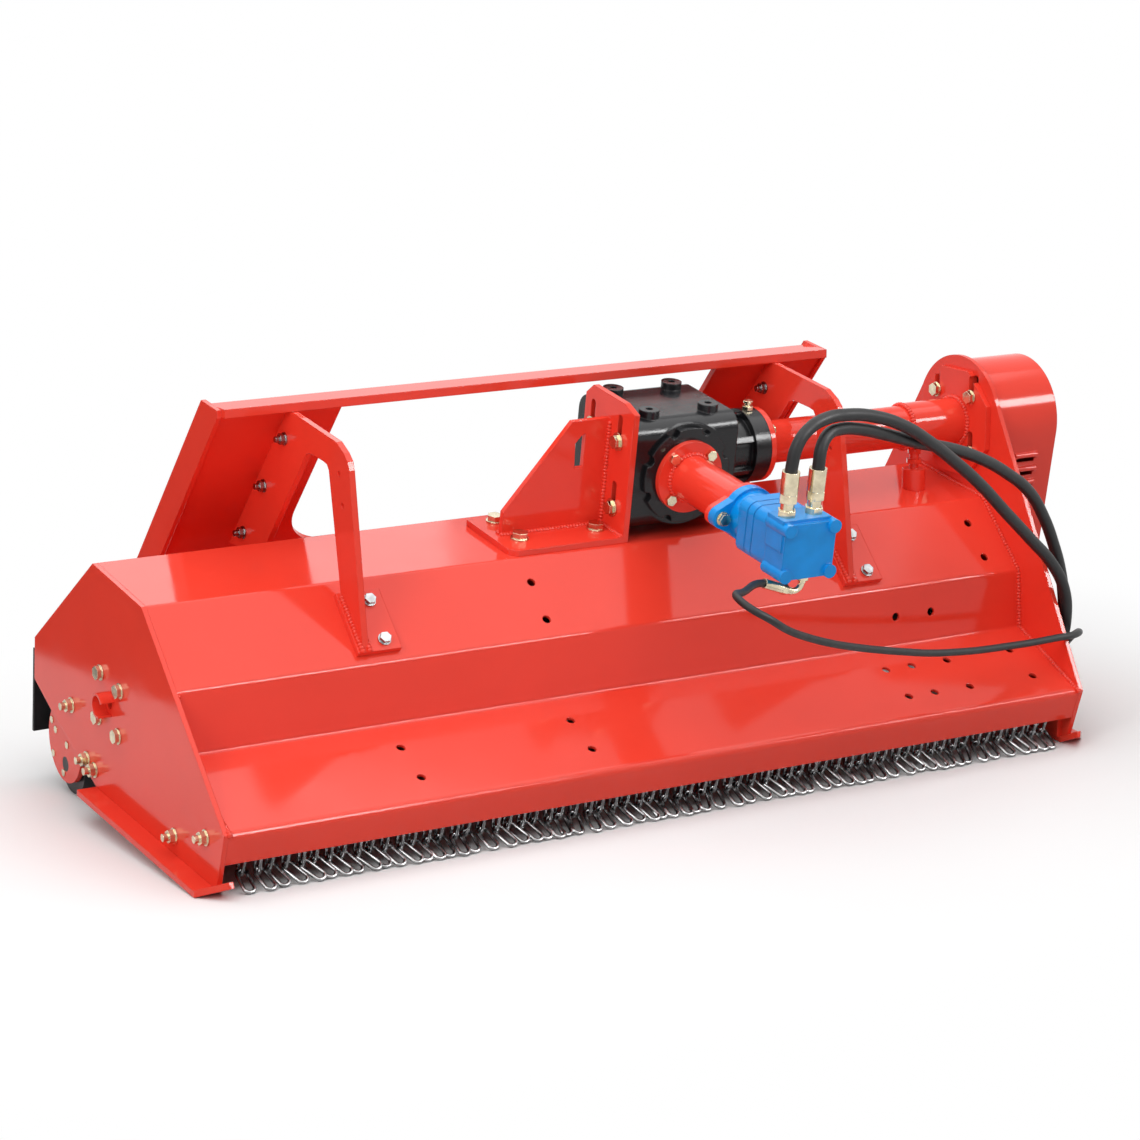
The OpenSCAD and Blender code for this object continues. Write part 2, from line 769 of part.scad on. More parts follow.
// Front bearing cover with its notched rim, and the hub that carries the cross tube
module gearbox_covers() {
    rim = 80;
    color(black) place() difference() {
        in_gearbox() {
            translate([0, -gear_depth, 0]) rotate([90, 0, 0]) difference() {
                union() {
                    cylinder(h = cover_thick, r = rim);
                    translate([0, 0, -24]) cylinder(h = 25, r = bore_front - 0.2);
                }
                for (a = [22.5 : 45 : 360]) rotate([0, 0, a]) translate([rim, 0, -1]) cylinder(h = 20, r = 9);
            }
            bar(block_half - 24, block_half + hub_length, bore_right - 0.2);
            bar(block_half, block_half + 14, 74);
            bar(block_half + hub_length - 30, block_half + hub_length, hub_radius);
            for (a = [0 : 60 : 300]) rotate([a, 0, 0])
                translate([block_half + 7, -5, 40]) cube([hub_length - 12, 10, hub_radius - 44]);
        }
        in_gearbox() {
            rotate([90, 0, 0]) cylinder(h = 200, r = input_shaft / 2 + run_fit);
            bar(0, 400, cross_shaft / 2 + run_fit);
            adapter_bolt_places() translate([0, 0, -44]) cylinder(h = 60, r = 5 + slack);
            tube_flange_places() translate([0, 0, -30]) cylinder(h = 60, r = 5 + slack);
            translate([block_half + hub_length - 16, 0, hub_radius - 14]) cylinder(h = 30, r = 6 + slack);
        }
    }
}

module breather_plug() {
    color(zinc) place() in_gearbox() translate([block_half + hub_length - 16, 0, hub_radius - 10]) {
        cylinder(h = 14, r = 6);
        translate([0, 0, 10]) cylinder(h = 7, r = 10, $fn = 6);
        translate([0, 0, 17]) cylinder(h = 6, r = 5);
        translate([0, 0, 22]) cylinder(h = 4, r = 8);
    }
}

// Bevel pair on the input and cross shafts
gear_near = 36;
gear_far = 60;
mesh_gap = 1;
gear_teeth = 16;
tooth_gap = 7;

module bevel() {
    difference() {
        translate([0, 0, gear_near])
            cylinder(h = gear_far - gear_near, r1 = gear_near - mesh_gap, r2 = gear_far - mesh_gap);
        for (a = [0 : 360 / gear_teeth : 359]) rotate([0, 0, a]) rotate([0, 45, 0]) rotate([0, 0, 45])
            translate([0, 0, gear_far]) cube([tooth_gap, tooth_gap, 2 * gear_far], center = true);
    }
}

module input_pinion() {
    color("#77797c") place() in_gearbox() rotate([90, 0, 0]) {
        bevel();
        translate([0, 0, gear_far - 1]) cylinder(h = -adapter_end - gear_far - 2, r = input_shaft / 2);
    }
}

module cross_gear() {
    color("#77797c") place() in_gearbox() rotate([0, 90, 0]) difference() {
        bevel();
        cylinder(h = 200, r = cross_shaft / 2 + run_fit);
    }
}

module cross_shaft_bar() {
    color("#8b8e92") place() in_gearbox()
        bar(gear_near, outer - gear_x + belt_gap + pulley_width + 6, cross_shaft / 2);
}

// Motor adapter: round flange, tube and two-bolt flange
module two_bolt_flange() {
    spread_x = motor_bolts / 2;
    side = motor_width / 2;
    circle(side);
    for (x = [-1, 1]) {
        translate([x * spread_x, 0]) circle(17);
        polygon([[0, side], [x * (spread_x + 6), 16], [x * (spread_x + 6), -16], [0, -side]]);
    }
}

module motor_bolt_places() {
    for (x = [-1, 1])
        translate([x * motor_bolts / 2, adapter_end - motor_flange, 0]) rotate([90, 0, 0]) children();
}

module motor_adapter() {
    length = adapter_start - adapter_end;
    color(paint) place() in_gearbox() difference() {
        translate([0, adapter_start, 0]) rotate([90, 0, 0]) {
            cylinder(h = flange_thick, r = flange_radius);
            cylinder(h = length, r = adapter_tube / 2);
            translate([0, 0, length - flange_thick]) linear_extrude(flange_thick) two_bolt_flange();
        }
        translate([0, adapter_start - 16, 0]) rotate([90, 0, 0]) cylinder(h = length, r = adapter_tube / 2 - 7);
        rotate([90, 0, 0]) cylinder(h = 300, r = input_shaft / 2 + run_fit);
        adapter_bolt_places() hole(10, flange_thick);
        motor_bolt_places() hole(11, motor_flange + flange_thick);
    }
}

module motor_housing() {
    front = motor_length - cap_length;
    color(motor_blue) place() in_gearbox() difference() {
        translate([0, adapter_end, 0]) rotate([90, 0, 0]) {
            linear_extrude(motor_flange) two_bolt_flange();
            translate([0, 0, motor_flange - 1]) cylinder(h = 34, r = motor_width / 2 - 5);
            translate([0, 0, motor_flange + 30]) linear_extrude(front - 30)
                rounded(motor_width, motor_width, 18);
        }
        motor_bolt_places() hole(11, motor_flange + flange_thick);
        for (s = [22, 40]) translate([0, adapter_end - motor_flange - 30 - s, 0]) rotate([90, 0, 0])
            difference() {
                cylinder(h = 2, r = motor_width);
                linear_extrude(6, center = true) rounded(motor_width - 4, motor_width - 4, 16);
            }
    }
}

module port_places() {
    for (x = port_x) translate([x, port_y, port_height]) children();
}

module motor_end_cap() {
    reach = motor_width / 2;
    color(motor_blue) place() in_gearbox() difference() {
        union() {
            translate([0, motor_end + cap_length, 0]) rotate([90, 0, 0])
                linear_extrude(cap_length) rounded(motor_width + 4, motor_width, 12);
            for (x = [-1, 1], z = [-1, 1])
                translate([x * (reach - 4), motor_end + cap_length, z * (reach - boss_in)]) rotate([90, 0, 0])
                    cylinder(h = cap_length + boss_out, r = boss_radius);
            translate([port_x[0] - 19, port_y - 22, 0]) cube([port_x[1] - port_x[0] + 38, 44, port_height]);
        }
        port_places() translate([0, 0, -20]) cylinder(h = 30, r = 10 + slack);
        translate([drain_x, drain_y, -reach - 1]) cylinder(h = 16, r = 6 + slack);
    }
}

module gearbox_bolts() {
    color(zinc) place() {
        slot_bolt_places() {
            cylinder(h = 3, r = 15);
            translate([0, 0, 3]) screw(stand_bolt - 2, plate_thick + 20);
        }
        in_gearbox() {
            adapter_bolt_places() screw(10, 36);
            motor_bolt_places() bolt(11, motor_flange + flange_thick);
            tube_flange_places() screw(10, 30);
        }
        tube_slot_places() bolt(tube_bolt, tube_plate + end_plate);
    }
}

// Cross tube from the gearbox hub to the bearing plate on the right end plate
tube_plate = 10;
tube_bolt = 12;
tube_slot = 30;
tube_bolt_ring = 68;
sleeve_length = 110;

module tube_slot_places() {
    for (a = [45 : 90 : 315])
        translate([half - tube_plate, cross_back, cross_height] + tube_bolt_ring * [0, cos(a), sin(a)])
            rotate([0, -90, 0]) children();
}

module drive_tube() {
    start = gear_x + block_half + hub_length;
    end = half - tube_plate;
    color(paint) place() difference() {
        at(cross_axis) difference() {
            union() {
                bar(start, start + flange_thick, hub_radius);
                bar(start, end, cross_tube / 2);
                bar(end - sleeve_length, end, cross_tube / 2 + 4);
            }
            bar(start - 1, end + 1, cross_tube / 2 - cross_wall);
        }
        in_gearbox() tube_flange_places() translate([0, 0, -flange_thick - 1]) cylinder(h = 20, r = 5 + slack);
    }
}

module tube_bearing_plate() {
    color(paint) place() difference() {
        at(cross_axis) union() {
            translate([half - tube_plate, 0, 0]) rotate([0, 90, 0]) rotate([0, 0, 22.5])
                cylinder(h = tube_plate, r = 98, $fn = 8);
            bar(half - tube_plate - 26, half, cross_tube / 2 - cross_wall - 0.2);
        }
        at(cross_axis) bar(0, 2 * half, cross_shaft / 2 + run_fit);
        tube_slot_places() slot(tube_bolt, tube_plate + end_plate, tube_slot);
    }
}

// Screw jack under the sleeve that sets the belt tension
module tension_jack() {
    jack_x = half - 92;
    body = 40;
    deck_z = fold_b[1] + (cross_back - fold_b[0]) * tan(deck_tilt);
    top = cross_height - cross_tube / 2 - 4;
    color(paint) place() translate([jack_x, cross_back, 0]) difference() {
        union() {
            translate([0, 0, deck_z - 6]) cylinder(h = body, r = 20);
            translate([0, 0, deck_z]) cylinder(h = top - deck_z - 8, r = 8);
            translate([0, 0, top - 26]) cylinder(h = 8, r = 14, $fn = 6);
            translate([0, 0, top - 9]) cylinder(h = 8.8, r = 12, $fn = 6);
        }
        translate([0, -cross_back, 0]) spread(200, -100) polygon([
            fold_b, fold_a, fold_a - [0, 100], fold_b - [0, 100]]);
    }
}

// Belt case: louvred cover, two grooved pulleys and three belts
module stadium(r) {
    flat = r - run_fit;
    translate(rotor_axis) circle(r, $fn = 96);
    translate(cross_axis) circle(r, $fn = 96);
    translate(rotor_axis) rotate(belt_angle) translate([0, -flat]) square([belt_length, 2 * flat]);
}

louvre_along = [222, 247, 272];

module louvre_places() {
    for (s = louvre_along) at(rotor_axis) rotate([belt_angle, 0, 0])
        translate([outer + cover_depth * 0.52, s, cover_radius]) children();
}

module belt_cover() {
    slit = 40;
    color(paint) place() difference() {
        union() {
            spread(cover_depth, outer) stadium(cover_radius);
            louvre_places() bar(-slit / 2 - 4, slit / 2 + 4, 6);
        }
        spread(cover_depth - cover_wall + 1, outer - 1) stadium(cover_radius - cover_wall);
        louvre_places() translate([-slit / 2, -12, -8]) cube([slit, 10, 16]);
    }
}

function belt_middle(k) = 2 + (k + 0.5) * belt_pitch;

module pulley(bore) {
    wide = belt_pitch / 2 - 1;
    rotate([0, 90, 0]) rotate_extrude($fn = 96) polygon(concat(
        [[bore, 0], [pulley_radius, 0]],
        [for (k = [0 : belt_count - 1])
            for (p = [[0, -wide], [groove_depth, 2 - wide], [groove_depth, wide - 2], [0, wide]])
            [pulley_radius - p[0], belt_middle(k) + p[1]]],
        [[pulley_radius, pulley_width], [bore, pulley_width]]));
}

module rotor_pulley() {
    color("#55575a") place() at(rotor_axis) translate([outer + belt_gap, 0, 0]) pulley(rotor_shaft / 2);
}

module cross_pulley() {
    color("#55575a") place() at(cross_axis) translate([outer + belt_gap, 0, 0]) pulley(cross_shaft / 2);
}

module drive_belts() {
    belt = 10.4;
    color(rubber) place() for (k = [0 : belt_count - 1])
        spread(belt, outer + belt_gap + belt_middle(k) - belt / 2) difference() {
            stadium(pulley_radius - slack);
            stadium(pulley_radius - groove_depth + slack);
        }
}

// Loader mount: leaning plate with its top lip and side stops, on two brackets
lug_bolt_y = -24;
lug_reach = 46;
arm_width = 88;
arm_end = 252;

function mount_point(y, z) =
    mount_top + y * [cos(mount_lean), sin(mount_lean)] + z * [-sin(mount_lean), cos(mount_lean)];
function slope_point(s, h) =
    let (d = unit(fold_b - fold_c)) fold_c + s * d + h * [-d[1], d[0]];

module lug_bolt_places() {
    for (x = bracket_x, z = lug_bolt_z)
        translate([x - mount_shift, lug_bolt_y, z]) rotate([0, -90, 0]) children();
}

module mount_plate() {
    wide = mount_width / 2;
    gap = wide - mount_side;
    floor_z = -mount_length + bottom_band;
    slot_wide = 60;
    slot_high = 22;
    color(paint) place() difference() {
        on_mount() difference() {
            union() {
                translate([0, mount_thick, 0]) rotate([90, 0, 0]) linear_extrude(mount_thick) difference() {
                    translate([-wide, -mount_length]) square([mount_width, mount_length + 30]);
                    translate([-gap, floor_z + window_round]) square([2 * gap, mount_length + 40]);
                    translate([-gap + window_round, floor_z]) square([2 * (gap - window_round), mount_length]);
                    for (x = [-1, 1]) translate([x * (gap - window_round), floor_z + window_round])
                        circle(window_round);
                    for (x = [-1, 1]) translate([x * (wide - 100), -mount_length + 34])
                        square([slot_wide, slot_high], center = true);
                }
                for (x = bracket_x) translate([x - mount_shift + bracket_thick, -lug_reach, -lug_length])
                    cube([lug_plate, lug_reach + 1, lug_length - 12]);
            }
            lug_bolt_places() hole(mount_bolt, bracket_thick + lug_plate);
            translate([-mount_width, mount_thick * 0.4, -14]) cube([2 * mount_width, mount_thick, 60]);
        }
        translate([mount_shift, mount_top[0], mount_top[1] + 100])
            cube([2 * mount_width, 300, 200], center = true);
    }
}

// Top lip that hooks over the loader's plate, and the stops at its two ends
module mount_lip() {
    color(paint) place() {
        translate([mount_shift - mount_width / 2, mount_top[0] - lip_front, mount_top[1]])
            cube([mount_width, lip_depth, lip_thick]);
        on_mount() for (x = [-1, 1])
            translate([x > 0 ? mount_width / 2 : -mount_width / 2 - stop_thick, 0, 0])
                rotate([90, 0, 90]) linear_extrude(stop_thick) polygon([
                    [4, 12], [stop_depth, -20], [stop_depth, -stop_length], [-4, -stop_length + 60], [-4, 2]]);
    }
}

module mount_bracket(x) {
    color(paint) place() difference() {
        union() {
            spread(bracket_thick, x) polygon([
                mount_point(0, -2), [mount_top[0] - 22, mount_top[1]],
                [254, 586], [230, 573], [218, 562], [213, 548],
                slope_point(foot_start + 2, foot_thick - 1),
                slope_point(foot_start + 2 + post_width * 1.5, foot_thick - 1),
                [213 + post_width, 538], [287, 546], [299, 549], [346, 554], mount_point(-arm_width, 0),
                mount_point(-arm_width, -arm_end), mount_point(0, -lug_length - 8)]);
            translate([x - foot_left, 0, 0]) on_line(fold_c, fold_b, foot_start)
                cube([foot_width + foot_left, foot_length, foot_thick]);
        }
        foot_bolt_places() hole(mount_bolt, foot_thick);
        on_mount() lug_bolt_places() hole(mount_bolt, bracket_thick + lug_plate);
        for (p = post_holes) translate([x, 0, 0]) at(p) bar(-1, bracket_thick + 1, post_hole / 2);
    }
}

module left_mount_bracket() {
    mount_bracket(bracket_x[0]);
}

module right_mount_bracket() {
    mount_bracket(bracket_x[1]);
}

module mount_bolts() {
    color(steel) place() {
        foot_bolt_places() bolt(mount_bolt, foot_thick + sheet);
        on_mount() lug_bolt_places() stud(mount_bolt, bracket_thick + lug_plate);
    }
}

// Hydraulic fittings and hoses
hose = 20;
drain_hose = 12;
ferrule_wall = 4;
fitting_height = 72;
socket = 22;
elbow_bend = 14;
elbow_turn = 110;
elbow_tube = 5;
drain_ferrule = 36;

module hose_fittings() {
    color(zinc) place() {
        drain_elbow();
        in_gearbox() port_places() difference() {
            union() {
                translate([0, 0, -18]) cylinder(h = 20, r = 10);
                cylinder(h = 10, r = 15, $fn = 6);
                cylinder(h = 30, r = 11);
                translate([0, 0, 22]) cylinder(h = 14, r = 15, $fn = 6);
                translate([0, 0, 36]) cylinder(h = fitting_height - 36, r = hose / 2 + ferrule_wall);
            }
            translate([0, 0, fitting_height - socket]) cylinder(h = socket + 1, r = hose / 2 + 0.3);
        }
    }
}

module at_drain() {
    translate([drain_x, drain_y, -motor_width / 2]) children();
}

module at_drain_end() {
    at_drain() translate([-elbow_bend, 0, -14]) rotate([0, elbow_turn, 0]) translate([elbow_bend, 0, 0])
        children();
}

module drain_elbow() {
    in_gearbox() {
        at_drain() {
            translate([0, 0, -6]) cylinder(h = 19, r = 6);
            translate([0, 0, -10]) cylinder(h = 10, r = 10, $fn = 6);
            translate([0, 0, -15]) cylinder(h = 6, r = elbow_tube + 1);
            translate([-elbow_bend, 0, -14]) rotate([-90, 0, 0]) rotate_extrude(angle = elbow_turn)
                translate([elbow_bend, 0]) circle(elbow_tube);
        }
        at_drain_end() difference() {
            union() {
                translate([0, 0, -14]) cylinder(h = 15, r = elbow_tube + 1);
                translate([0, 0, -20]) cylinder(h = 10, r = 9, $fn = 6);
                translate([0, 0, -20 - drain_ferrule]) cylinder(h = drain_ferrule, r = drain_hose / 2 + 2);
            }
            translate([0, 0, -21 - drain_ferrule]) cylinder(h = socket, r = drain_hose / 2 + 0.3);
        }
    }
}

function gear_point(p) = [
    gear_x + p[0],
    cross_back + p[1] * cos(deck_tilt) - p[2] * sin(deck_tilt),
    cross_height + p[1] * sin(deck_tilt) + p[2] * cos(deck_tilt)];
function port_point(i, up) = gear_point([port_x[i], port_y, port_height + up]);
function drain_point(out) = gear_point([
    drain_x - elbow_bend + elbow_bend * cos(elbow_turn) - out * sin(elbow_turn),
    drain_y,
    -motor_width / 2 - 14 - elbow_bend * sin(elbow_turn) - out * cos(elbow_turn)]);

// Routes of the hoses, from the ferrule to the coupler behind the right end plate
pressure_route = concat(
    [port_point(0, fitting_height - socket + 1), port_point(0, fitting_height + 6)],
    [[138, -91, 580], [158, -90, 601], [188, -87, 613], [238, -78, 614], [305, -66, 602], [363, -54, 581],
     [427, -38, 546], [491, -20, 505], [559, 0, 457], [629, 22, 400], [704, 46, 340], [759, 60, 292],
     [793, 68, 243], [806, 76, 192], [808, 92, 142], [808, 122, 98], [807, 165, 70], [807, 220, 58],
     [807, 290, 57], [812, 360, 60], [818, 430, 62], [820, 478, 54], [820, 520, 33], [820, 560, 14],
     [820, 595, 5], [820, 620, 4]]);
return_route = concat(
    [port_point(1, fitting_height - socket + 1), port_point(1, fitting_height + 4)],
    [[185, -87, 572], [199, -83, 588], [226, -74, 592], [272, -62, 586], [331, -46, 570], [415, -20, 544],
     [511, 8, 518], [580, 28, 493], [647, 48, 460], [711, 66, 418], [755, 80, 367], [784, 89, 318],
     [806, 96, 270], [820, 102, 220], [828, 110, 170], [830, 130, 123], [830, 166, 86], [829, 220, 64],
     [829, 290, 58], [834, 360, 60], [840, 430, 63], [843, 478, 54], [848, 520, 33], [855, 560, 14],
     [858, 595, 5], [858, 620, 4]]);
drain_route = concat(
    [drain_point(drain_ferrule + 1), drain_point(58)],
    [[28, -108, 366], [8, -122, 369], [-2, -148, 366], [3, -172, 357], [26, -184, 342], [70, -170, 316],
     [115, -152, 296], [171, -132, 275], [235, -110, 255], [300, -88, 237], [364, -68, 221], [429, -48, 206],
     [494, -30, 195], [560, -12, 186], [625, 4, 180], [689, 18, 175], [750, 31, 172], [793, 39, 170],
     [822, 60, 166], [842, 88, 158], [857, 125, 138], [869, 165, 105], [878, 205, 68], [885, 245, 34],
     [888, 290, 10], [888, 340, -1], [888, 390, -3], [888, 440, -3]]);

function cross3(a, b) = [a[1] * b[2] - a[2] * b[1], a[2] * b[0] - a[0] * b[2], a[0] * b[1] - a[1] * b[0]];
function heading(p, i) = unit(p[min(i + 1, len(p) - 1)] - p[max(i - 1, 0)]);
function carried(p, i) =
    let (t = heading(p, i))
    let (n = i == 0 ? cross3(t, [0.2, 1, 0.1]) : carried(p, i - 1))
    unit(n - (n * t) * t);
function ring(p, i, r, sides) =
    let (n = carried(p, i))
    let (b = cross3(heading(p, i), n))
    [for (k = [0 : sides - 1]) p[i] + r * (cos(360 * k / sides) * n + sin(360 * k / sides) * b)];

module tube(p, diameter) {
    sides = 10;
    last = len(p) - 1;
    points = [for (i = [0 : last]) each ring(p, i, diameter / 2, sides)];
    walls = [for (i = [0 : last - 1], k = [0 : sides - 1])
        let (a = i * sides + k, b = i * sides + (k + 1) % sides)
        each [[a, a + sides, b], [b, a + sides, b + sides]]];
    start_cap = [for (k = [1 : sides - 2]) [0, k, k + 1]];
    far = last * sides;
    end_cap = [for (k = [1 : sides - 2]) [far, far + k + 1, far + k]];
    polyhedron(points, concat(walls, start_cap, end_cap));
}

module pressure_hose() {
    color(rubber) place() tube(pressure_route, hose);
}

module return_hose() {
    color(rubber) place() tube(return_route, hose);
}

module drain_line() {
    color(rubber) place() tube(drain_route, drain_hose);
}

// Quick couplers on the hose ends, lying on the ground beside the right end plate
module coupler(p, bore) {
    length = bore * 4.2;
    translate(p - [0, bore * 0.9, 0]) rotate([-90, 0, 0]) difference() {
        union() {
            cylinder(h = length * 0.4, r = bore * 0.72);
            translate([0, 0, length * 0.4]) cylinder(h = length * 0.2, r = bore * 0.85, $fn = 6);
            translate([0, 0, length * 0.6]) cylinder(h = length * 0.4, r = bore * 0.78);
        }
        translate([0, 0, -1]) cylinder(h = bore + 1, r = bore / 2 + 0.3);
        translate([0, 0, length * 0.8]) cylinder(h = length, r = bore * 0.4);
    }
}

module hose_couplers() {
    color(steel) place() {
        for (r = [pressure_route, return_route]) coupler(r[len(r) - 1], hose);
        coupler(drain_route[len(drain_route) - 1], drain_hose);
    }
}

HAMMERS = [for (i = [1 : hammer_count]) str("hammer_", i)];
CHAINS = [for (i = [1 : 4]) str("chain_section_", i)];

hood_sheet();
rear_sheet();
rear_flap();
flap_strip();
left_end_plate();
right_end_plate();
left_skid();
right_skid();
rotor_bearings();
grease_guard();
side_bolts();
roller_brackets();
curtain_rod();
gearbox_bracket();
deck_bolts();
gearbox_housing();
gearbox_covers();
breather_plug();
motor_adapter();
motor_housing();
motor_end_cap();
gearbox_bolts();
drive_tube();
tube_bearing_plate();
tension_jack();
belt_cover();
drive_belts();
mount_plate();
mount_lip();
left_mount_bracket();
right_mount_bracket();
mount_bolts();
hose_fittings();
pressure_hose();
return_hose();
drain_line();
hose_couplers();
rotor();
rotor_pulley();
input_pinion();
cross_gear();
cross_shaft_bar();
cross_pulley();
rear_roller();
for (i = [0 : 3])
    chain_section(i);
for (i = [0 : hammer_count - 1])
    hammer(i);
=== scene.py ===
"""Finishes, hoses, welds, chains, flap and stage of a flail mower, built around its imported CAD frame."""

import json
import math

import bpy
from bpy.props import FloatProperty, FloatVectorProperty, PointerProperty
from mathutils import Matrix, Vector


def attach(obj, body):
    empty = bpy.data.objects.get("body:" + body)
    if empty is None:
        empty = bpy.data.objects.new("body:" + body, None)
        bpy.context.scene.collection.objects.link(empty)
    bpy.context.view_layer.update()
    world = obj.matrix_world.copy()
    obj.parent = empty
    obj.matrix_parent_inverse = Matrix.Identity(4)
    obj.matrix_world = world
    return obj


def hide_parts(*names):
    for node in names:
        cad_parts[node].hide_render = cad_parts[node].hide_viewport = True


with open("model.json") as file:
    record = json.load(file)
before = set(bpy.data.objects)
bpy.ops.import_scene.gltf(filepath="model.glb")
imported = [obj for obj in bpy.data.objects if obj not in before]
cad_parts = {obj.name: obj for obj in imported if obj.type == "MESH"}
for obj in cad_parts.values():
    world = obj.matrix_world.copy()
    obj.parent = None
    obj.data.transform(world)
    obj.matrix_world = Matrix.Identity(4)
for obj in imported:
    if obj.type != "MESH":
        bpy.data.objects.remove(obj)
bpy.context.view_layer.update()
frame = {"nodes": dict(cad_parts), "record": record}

bl_info = {
    "name": "Flail mower",
    "version": (1, 0, 0),
    "blender": (4, 5, 0),
    "location": "View3D > Sidebar > Mower",
    "description": "Dresses the flail mower's frame with finishes, hoses, welds, chains, flap and stage",
    "category": "Object",
}

# The layout of the solids, in millimetres: x to the right from the middle of the hood, y back from its
# nose, and z up. MIDDLE is the point of the layout that lies at the frame's origin, on the ground
METRE = 1000
MIDDLE = Vector((47.0, 320.1, -14.0))
DECK_TILT = math.radians(9.5)
GEARBOX = Vector((159.5, 350.0, 487.0))

# Folds of the hood section in the layout, in millimetres: back from the nose, and up
NOSE = (0.0, 84.0)
SHELF_TOP = (163.0, 160.0)
BAND_TOP = (170.0, 257.0)
SLOPE_TOP = (274.0, 365.0)
DECK_REAR = (456.0, 395.5)
TAIL_TOP = (706.0, 225.5)
TAIL_FOOT = (714.0, 155.5)
PLATE_INSIDE = 777.5

# Seams with a weld bead, in millimetres: inside the end plates, on the gearbox stand and its gusset from the
# gearbox middle, on the mount brackets along and off the slope, and round the motor adapter and the cross
# tube, with the radii of these rings in metres
BEAD_INSET = 1
STAND_UPRIGHT = -107
STAND_FOOT = -97.8
STAND_EDGES = (-88, 54)
GUSSET_FACES = (-11, -23)
GUSSET_LENGTH = 185
GUSSET_HEIGHT = 178
BRACKET_LEFT = (-468.5, 429.5)
BRACKET_SIDES = (11, -1)
BRACKET_SEAM = (18, 120)
BRACKET_OFF = 11
ADAPTER_RINGS = (-110, -262)
ADAPTER_RADIUS = 0.0385
TUBE_RINGS = ((360, 0.0365), (657, 0.0370), (767, 0.0410))

# One ripple of a weld bead: its segments and rings, and its length as a share of its width
RIPPLE_SEGMENTS = 10
RIPPLE_RINGS = 6
RIPPLE_LENGTH = 0.72

# Chain curtain in the layout, in millimetres and degrees: its rod, the pitch of its chains, the play
# between two links and the lean of an upper link
CURTAIN_ROD = (33.0, 56.0)
CHAIN_PITCH = 23.4
LINK_PLAY = 0.4
LINK_LEAN = 19.0

# How each chain lies: the turns of each section's lower links in degrees, their roll as a share of the
# turn, and the sways in degrees that the upper links take one after the other
CHAIN_TURNS = [
    (0, 12, 22, 30, 34, 31, 33, 28, 34, 30, 24, 29, 22, 14, 7, 0),
    (0, 11, 23, 31, 26, 17, 6, -5, -15, -6, 6, 17, 27, 21, 10, 0),
    (0, -10, -19, -8, 4, 15, 25, 33, 24, 13, 2, 12, 24, 16, 8, 0),
    (0, 10, 21, 30, 22, 12, 1, -10, -20, -11, 1, 13, 24, 18, 9, 0)]
ROLL_SHARE = -0.7
CHAIN_SWAYS = (2.0, -1.5, 3.0, 0.5, -2.5, 1.0, -0.5)

# Corners round a link and round its wire, and the search for the slope at which a lower link meets the
# ground: the sine that it starts from and its rounds
LINK_SEGMENTS = 24
WIRE_SEGMENTS = 10
FIRST_STEEP = 0.4
STEEP_ROUNDS = 8

# Rear flap, in metres: its width past the inside of the hood, its start below the rear fold, its faces
# across and down, the share of its height that hangs flat, its waves' size and middle, and the angle of a
# sharp edge
FLAP_EXTRA = 0.016
FLAP_START = 0.020
FLAP_ACROSS = 120
FLAP_DOWN = 12
FLAP_FLAT = 0.3
WAVE_SIZE = 0.16
WAVE_MIDDLE = 0.4
SHARP_EDGE = math.radians(40)

# Camera at the photograph's angle, in metres and degrees, with its sensor in millimetres
CAMERA_PLACE = (-2.7384, -4.4938, 1.5474)
CAMERA_TURN = (76.95, 0, -30.74)
SENSOR_WIDTH = 36
VIEW_DEPTH = 200

# Lamps in metres: middle, width and height, and the setting that holds the power. They all look at one
# point, and the reflected one lights no matt surface
LAMPS = [
    ("top_light", (-0.3, -0.8, 3.4), (6.5, 5.5), "top"),
    ("strip_light", (2.8, -4.0, 2.7), (4.2, 0.9), "strip"),
    ("side_light", (-4.4, -2.2, 2.4), (1.6, 1.6), "side"),
    ("back_light", (0.6, 3.4, 3.8), (3.0, 3.0), "back")]
LAMP_AIM = (0, 0, 0.25)
REFLECTED_LAMP = "strip_light"

# Floor in metres: its side, how far it lies below the part, and the width over which it fades to white
FLOOR_SIZE = 60
FLOOR_DROP = 0.0005
FADE_WIDTH = 0.8

# Gloss of the floor, roughness of the floor and the card, and colour of the world
FLOOR_SHINE = 0.1
STAGE_ROUGHNESS = 0.9
WHITE = (1, 1, 1, 1)

# Middle, width and height in metres of the card that the left end plate mirrors, and its turn on the floor
CARD_PLACE = (-1.166, 0.967, 0.3)
CARD_SIZE = (1.3, 0.6)
CARD_TURN = math.radians(82)
CARD_COLOUR = (0.05, 0.05, 0.05, 1)

# What all finishes share: the clouds in their colour and gloss, the settled dust and how far a face has to
# look up to hold it, the grain's depth in metres, the samples of a rounded edge, and the roughness of a
# clear coat
CLOUD_DETAIL = 4
CLOUD_SPAN = (0.3, 0.7)
GLOSS_CLOUD = 2.5
DUST_COLOUR = (0.55, 0.50, 0.46, 1)
DUST_SCALE = 7.0
DUST_LIMIT = 0.2
GRAIN_DEPTH = 0.0006
EDGE_SAMPLES = 4
COAT_ROUGHNESS = 0.04

